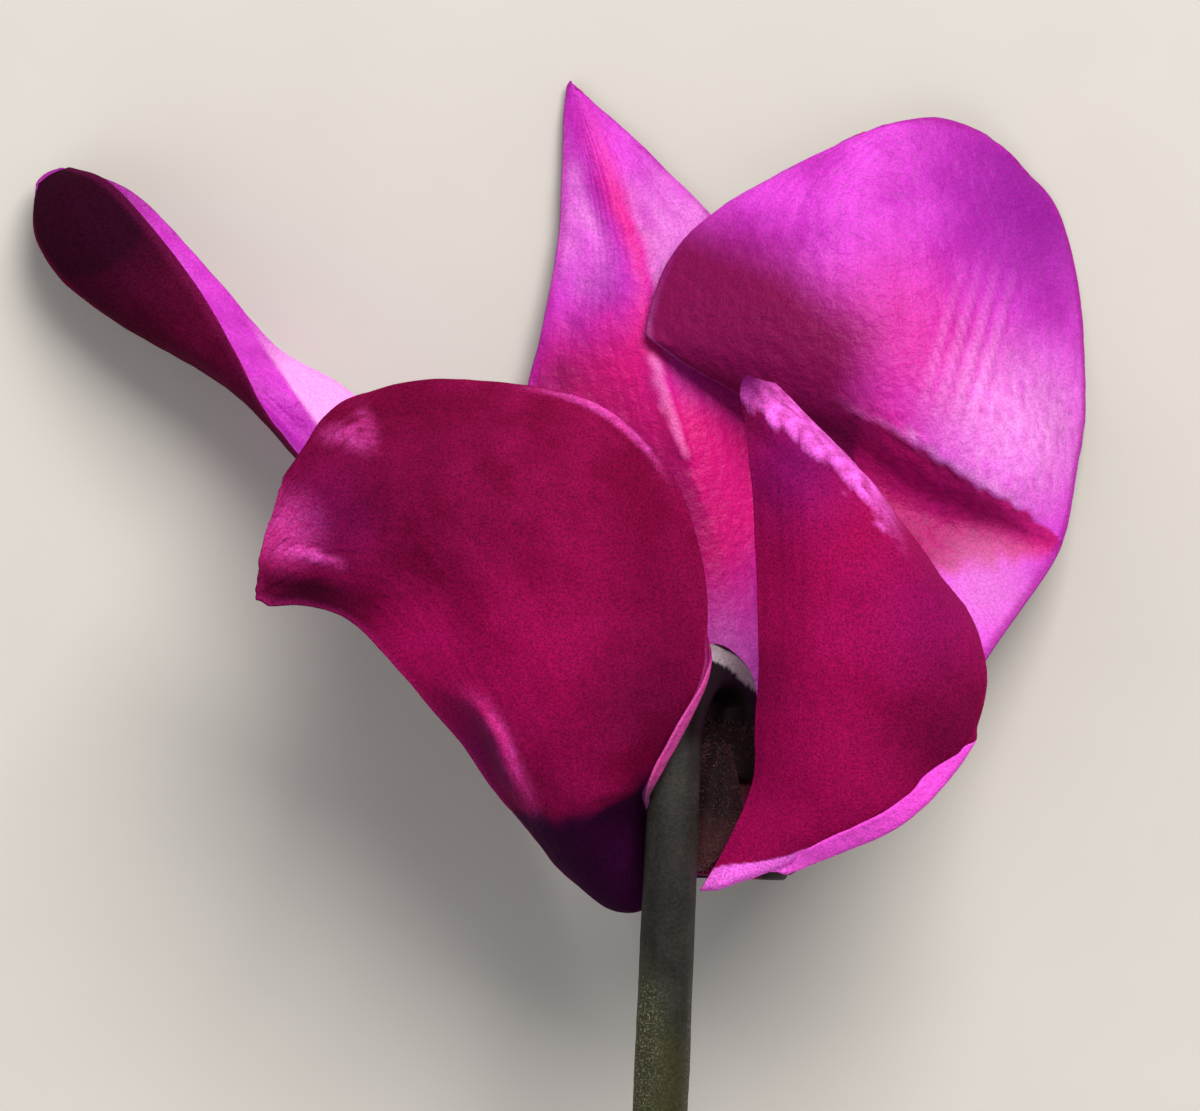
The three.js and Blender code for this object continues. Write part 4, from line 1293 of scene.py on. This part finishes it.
# %% [markdown]
# The calyx's skin
#
# Receptacle and sepals are leathery and dark maroon-brown, matt because short glandular hairs stand all
# over them. The hairs have a rosy brown tip that catches the light, and the skin between them browns
# along the sepals' margins and ends. Its cells are about 0.04 mm wide, so they are drawn three times as
# coarse.

# %% Calyx skin
calyx_skin = living_skin("matt_calyx_skin", SimpleNamespace(
    dark="#100507", light="#1a0b0b", mottle_size=1.5,
    layers=[("brown", 0.9, "#3c2022"), ("hair", 0.9, "#8a5c64")],
    specks=[], grain_size=0.12, grain=0.3, pucker_size=0.5, pucker=1.0, grain_depth=0.04,
    roughness=0.65, gloss=0.1, bloom=0.02, bloom_tint="#c87088", translucence=0.05,
))

# %% [markdown]
# Hairs
#
# Hair curves could be grown, but they are not mesh, and these hairs are to be part of the piece. So each
# hair is a tiny three-sided spike with a closed foot. Real hairs are finer than these; at this size they
# still read as a soft fuzz.

# %% Hairs
HAIR_RADIUS = 0.02
HAIRS_ON_A_PIECE = 900
SHORTEST_HAIR = 0.2
LONGEST_HAIR = 0.5
HAIR_SPREAD = 0.35
HAIR_SCATTER = 0.08


def hairs(places, ways, lengths):
    """Three-sided spikes that stand on the given places and point along the given ways."""
    across = unit(np.cross(ways, [0.3, 0.5, 0.8]))
    other = np.cross(ways, across)
    feet = [places + HAIR_RADIUS * (math.cos(a) * across + math.sin(a) * other) for a in (0, 2.1, 4.2)]
    points = np.stack(feet + [places + ways * lengths[:, None]], axis=1).reshape(-1, 3)
    faces = 4 * np.arange(len(places))[:, None, None] + np.array([[0, 1, 3], [1, 2, 3], [2, 0, 3], [0, 2, 1]])
    return points, faces.reshape(-1, 3)


def with_hairs(points, faces, rooted, outward, lean, seed):
    """A solid's points and faces with hairs on some of its points, and a mark that is 1 at their tips."""
    count = HAIRS_ON_A_PIECE
    chance = np.random.default_rng(seed)
    roots = chance.integers(0, len(rooted), count)
    ways = unit(outward[roots] + lean + HAIR_SPREAD * chance.normal(size=(count, 3)))
    places = rooted[roots] + HAIR_SCATTER * chance.normal(size=(count, 3)) * (1 - abs(outward[roots]))
    more, spikes = hairs(places, ways, chance.uniform(SHORTEST_HAIR, LONGEST_HAIR, count))
    faces = [list(face) for face in faces] + (spikes + len(points)).tolist()
    hair = np.concatenate([np.zeros(len(points)), np.tile([0.3, 0.3, 0.3, 1], count)])
    return np.concatenate([points, more]), faces, hair


print("hairs on the calyx:", 6 * HAIRS_ON_A_PIECE)

# %% [markdown]
# Receptacle
#
# The receptacle is a small hollow cup, open towards the tube, with a rounded rim and a faint five-sided
# swelling where the sepals begin. It is turned like a pot from a profile that runs from the inside over
# the rim and up the outside to the stalk. Only its outside is hairy.

# %% Receptacle
RECEPTACLE = [
    [0, 8.3], [1.2, 8.25], [2.3, 8], [3.3, 7.2], [3.6, 6.85], [3.8, 6.75], [4, 6.9], [3.98, 7.3],
    [3.7, 8], [3.2, 8.75], [2.6, 9.4], [2.1, 9.85], [1.75, 10.2], [1, 10.32], [0, 10.33],
]
CUP_SWELL = 0.015
HAIRY_RINGS = slice(45, 72)

rings = turned(RECEPTACLE, 80, 80, lambda angle, height: 1 + CUP_SWELL * np.cos(5 * (angle - 0.3)))
points, faces = closed_rings(rings)
outside = rings[HAIRY_RINGS].reshape(-1, 3)
away_from_cup = unit(outside - [0, 7, 0])
points, faces, hair = with_hairs(points, faces, outside, away_from_cup, [0, -0.3, 0], 1)
receptacle = make_object("receptacle_cup", leaned(points), faces, [calyx_skin])
store(receptacle, "hair", hair)
take_place(receptacle, "receptacle")

# %% [markdown]
# Sepals
#
# A sepal is a small pointed leaf that hugs the tube, with a rib along its middle and one on each side. It
# is a thin sheet like a petal, so the same functions serve: sections on the surface of a cone, ribs and a
# wavy margin as heights, and then hairs. The five differ in where they stand and how far they reach.

# %% Sepals
SEPAL_AZIMUTHS = [-12, 59, 137, 211, 273]
SEPAL_THICKNESS = 0.35
SEPAL_MARGIN = 0.16
SEPAL_TIP_HEIGHTS = [1, 2.1, 1.4, 1.7, 1.2]
RIB_HEIGHT = 0.1
BUMP_HEIGHT = 0.05
WAVE_HEIGHT = 0.12
# Height, radius and half its width as an angle, from the foot of a sepal to just short of its tip.
SEPAL_STATIONS = [
    (8.8, 3.05, 0.26), (7.8, 3.85, 0.32), (6.6, 4.4, 0.4), (5, 4.75, 0.46), (3.8, 4.95, 0.4),
]


def sepal_sheet(azimuth, tip_height, seed):
    """The sheet of a sepal that stands at an azimuth in degrees and ends at a height in mm."""
    middle = math.radians(azimuth)
    tip = [(tip_height + 1.1, 4.95, 0.24), (tip_height, 5, 0.04)]
    sections = [
        [
            [radius * math.sin(middle + side * half), height, radius * math.cos(middle + side * half)]
            for side in (1, 0.5, 0, -0.5, -1)
        ]
        for height, radius, half in SEPAL_STATIONS + tip
    ]
    lines = smooth_line(sections, even(60))
    sheet = measured(smooth_line(lines.transpose(1, 0, 2), close_at_ends(32)).transpose(1, 0, 2), 16)
    ribs = ridge(sheet.side, 0.22) + 0.5 * ridge(abs(sheet.side) - 0.9, 0.18)
    margin = np.minimum(sheet.left, sheet.right)
    sheet.height = RIB_HEIGHT * ribs * rise(sheet.tip, 0, 2) + BUMP_HEIGHT * rough(sheet, 0.9, seed, 1.5)
    sheet.height += WAVE_HEIGHT * rough(sheet, 2.5, seed + 20) * np.exp(-margin / 0.8)
    settle(sheet)
    sheet.brown = 0.5 * np.exp(-margin / 0.4) + 0.9 * rise(sheet.base, 4, 7)
    return sheet


for number, (azimuth, tip_height) in enumerate(zip(SEPAL_AZIMUTHS, SEPAL_TIP_HEIGHTS), 1):
    sheet = sepal_sheet(azimuth, tip_height, number)
    points, faces, _, behind = thin_solid(sheet, SEPAL_THICKNESS, SEPAL_MARGIN)
    outer_face = points[:sheet.base.size]
    outward = normals(sheet.grid).reshape(-1, 3)
    points, faces, hair = with_hairs(points, faces, outer_face, outward, [0, -0.5, 0], number)
    sepal = make_object(f"sepal_leaf_{number}", leaned(points), faces, [calyx_skin])
    brown = np.clip(sheet.brown.ravel()[behind], 0, 1)
    store(sepal, "brown", np.concatenate([brown, np.zeros(len(points) - len(behind))]))
    store(sepal, "hair", hair)
    take_place(sepal, f"sepal_{number}")

# %% [markdown]
# Tube
#
# The tube is soft petal tissue, swollen into five slight lobes, one behind each petal. Its rolled lip is
# dark crimson, with streaks that run up from it, and on the right, deep under the petals, it is painted
# nearly black as shade. It is turned like the receptacle; its five lobes and 25 streaks are cosines of the
# angle round the axis. Its skin is thin and moist, with soft lights. The cells of about 0.04 mm are drawn
# three times as coarse.

# %% Tube
tube_skin = living_skin("dark_tube_skin", SimpleNamespace(
    dark="#5a0a2c", light="#74123c", mottle_size=1.2,
    layers=[("lip", 1.0, "#8c0a50"), ("foot", 1.0, "#6a5a34"), ("eye", 1.0, "#1c0410")],
    specks=[], grain_size=0.12, grain=0.2, pucker_size=0.6, pucker=0.8, grain_depth=0.03,
    roughness=0.5, gloss=0.2, bloom=0.03, bloom_tint="#ff80c8", translucence=0.15,
))
TUBE_PROFILE = [
    [0, 7.4], [0.7, 7.34], [1.4, 7.15], [2.1, 6.8], [2.8, 6.2], [3.3, 5.3], [3.6, 4.3], [3.78, 3],
    [3.72, 2], [3.62, 1.5], [3.66, 1.1], [3.82, 0.78], [4.08, 0.66], [4.3, 0.76], [4.38, 1], [4.34, 1.3],
    [4.25, 1.8], [4.3, 3.2], [4, 5], [3.2, 6.7], [1.8, 7.7], [0.8, 7.87], [0, 7.9],
]
PETAL_MIDDLE = math.radians(26)
LOBE_SWELL = 0.02
STREAKS = 25


def five_lobes(angle, height):
    """The swelling of the tube behind each petal."""
    return 1 + LOBE_SWELL * np.cos(5 * (angle - PETAL_MIDDLE))


rings = turned(TUBE_PROFILE, 130, 100, five_lobes)
points, faces = closed_rings(rings)
tube = make_object("tube_of_the_corolla", leaned(points), faces, [tube_skin])
streak = 0.5 + 0.5 * np.cos(STREAKS * np.arctan2(points[:, 0], points[:, 2]))
store(tube, "lip", 1 - rise(points[:, 1], 0.9, 1.6 + 1.6 * streak))
# Painted shade, nearly black, on the right deep under the petals.
store(tube, "eye", rise(points[:, 0], 2.2, 3) * (1 - rise(points[:, 1], 1.8, 2.6)))
store(tube, "foot", 0.6 * rise(points[:, 1], 5.5, 7.5))
take_place(tube, "corolla_tube")

# %% [markdown]
# Stamens
#
# The stamens are long pointed anthers, each with two pollen sacs and a groove between them, on a short
# stout filament. They lean together round the style. A dusty yellow with a coarse bump gives them their
# pollen; real grains are a fiftieth of a millimetre wide, so they are drawn five times as large.

# %% Anther skin and shape
anther_skin = living_skin("dusty_anther_skin", SimpleNamespace(
    dark="#a87c30", light="#c89a48", mottle_size=0.6,
    layers=[("groove", 0.8, "#6e3a22"), ("filament", 1.0, "#9a6a70")],
    specks=[], grain_size=0.1, grain=0.25, pucker_size=0.25, pucker=1.5, grain_depth=0.05,
    roughness=0.8, gloss=0.15, bloom=0.15, bloom_tint="#ffe0a0", translucence=0.05,
))
STAMEN_PROFILE = [[0, 0], [0.22, 0.5], [0.52, 1.6], [0.58, 3], [0.42, 4.1], [0.2, 4.6], [0.2, 5.3], [0, 5.4]]
FLATNESS = 0.7


def groove(angle):
    """1 in the two grooves between the pollen sacs, one on the outer face and one on the inner face."""
    return ridge(np.sin(angle), 0.3)


def two_sacs(angle, height):
    """The shape of an anther: two sacs with grooves between them, and a round filament at its foot."""
    return 1 + (0.12 - 0.3 * groove(angle)) * (1 - rise(height, 3.9, 4.5)) * rise(height, 0, 0.8)


rings = turned(STAMEN_PROFILE, 60, 32, two_sacs)
anther_points, anther_faces = closed_rings(rings)
print("faces of an anther:", len(anther_faces))

# %% [markdown]
# Five anthers
#
# One anther is made, roughened by its own noise and placed five times. An instance would save memory, but
# each has to be a piece of its own, and the noise makes no two the same.

# %% Stamens
ANTHER_LEAN = math.radians(12)
ANTHER_OUT = 0.8
ANTHER_UP = 1.1
BETWEEN_SEPALS = 36
DUST_HEIGHT = 0.05
DUST_FINENESS = 7


def stand_in_ring(points, azimuth):
    """The points leaned inwards, moved out from the axis and turned to an azimuth in degrees."""
    x, y, z = points.T
    up = y * math.cos(ANTHER_LEAN) - z * math.sin(ANTHER_LEAN) + ANTHER_UP
    out = y * math.sin(ANTHER_LEAN) + z * math.cos(ANTHER_LEAN) + ANTHER_OUT
    turn = math.radians(azimuth)
    cos, sin = math.cos(turn), math.sin(turn)
    return np.stack([x * cos + out * sin, up, out * cos - x * sin], axis=1)


angle = np.arctan2(anther_points[:, 0], anther_points[:, 2])
height = anther_points[:, 1]
for number, azimuth in enumerate(SEPAL_AZIMUTHS, 1):
    spots = anther_points * DUST_FINENESS + [0, 0, number]
    dust = np.array([noise.noise(spot) for spot in spots])
    points = anther_points * (1 + DUST_HEIGHT * dust[:, None] * [1, 0, 1]) * [1, 1, FLATNESS]
    placed = leaned(stand_in_ring(points, azimuth + BETWEEN_SEPALS))
    stamen = make_object(f"anther_{number}", placed, anther_faces, [anther_skin])
    store(stamen, "groove", groove(angle) * (1 - rise(height, 3.6, 4.4)))
    store(stamen, "filament", rise(height, 4.1, 4.6))
    take_place(stamen, f"stamen_{number}")

# %% [markdown]
# Pistil
#
# In the middle stands the pistil: a round ovary, a straight style and a small knob of a stigma that the
# insects touch. Its skin is smooth and moist, so it is the glossiest of all, dull pink on the style and
# olive on the ovary. It is one turned piece, from the stigma down to the ovary, because on the plant it
# is grown as one. Its cells of about 0.03 mm are drawn three times as coarse.

# %% Pistil
pistil_skin = living_skin("satin_pistil_skin", SimpleNamespace(
    dark="#a23a68", light="#b85a80", mottle_size=0.8,
    layers=[("ovary", 0.8, "#8c8a4a"), ("stigma", 0.8, "#d8a0a8")],
    specks=[], grain_size=0.1, grain=0.15, pucker_size=0.3, pucker=0.8, grain_depth=0.02,
    roughness=0.4, gloss=0.4, bloom=0.05, bloom_tint="#ffc0d8", translucence=0.15,
))
PISTIL_PROFILE = [
    [0, 0.2], [0.14, 0.22], [0.27, 0.3], [0.31, 0.45], [0.28, 0.65], [0.21, 0.9], [0.19, 1.6], [0.19, 3],
    [0.21, 4.4], [0.28, 5.1], [0.55, 5.55], [0.9, 6.05], [0.98, 6.45], [0.8, 6.82], [0.4, 6.97], [0, 7],
]


def faint_lobes(angle, height):
    """Five faint lobes round the ovary, and none on the style."""
    return 1 + 0.04 * np.cos(5 * angle) * rise(height, 5, 6)


points, faces = closed_rings(turned(PISTIL_PROFILE, 90, 40, faint_lobes))
pistil = make_object("ovary_and_style", leaned(points), faces, [pistil_skin])
store(pistil, "ovary", rise(points[:, 1], 4.9, 5.8))
store(pistil, "stigma", 1 - rise(points[:, 1], 0.4, 0.7))
take_place(pistil, "pistil")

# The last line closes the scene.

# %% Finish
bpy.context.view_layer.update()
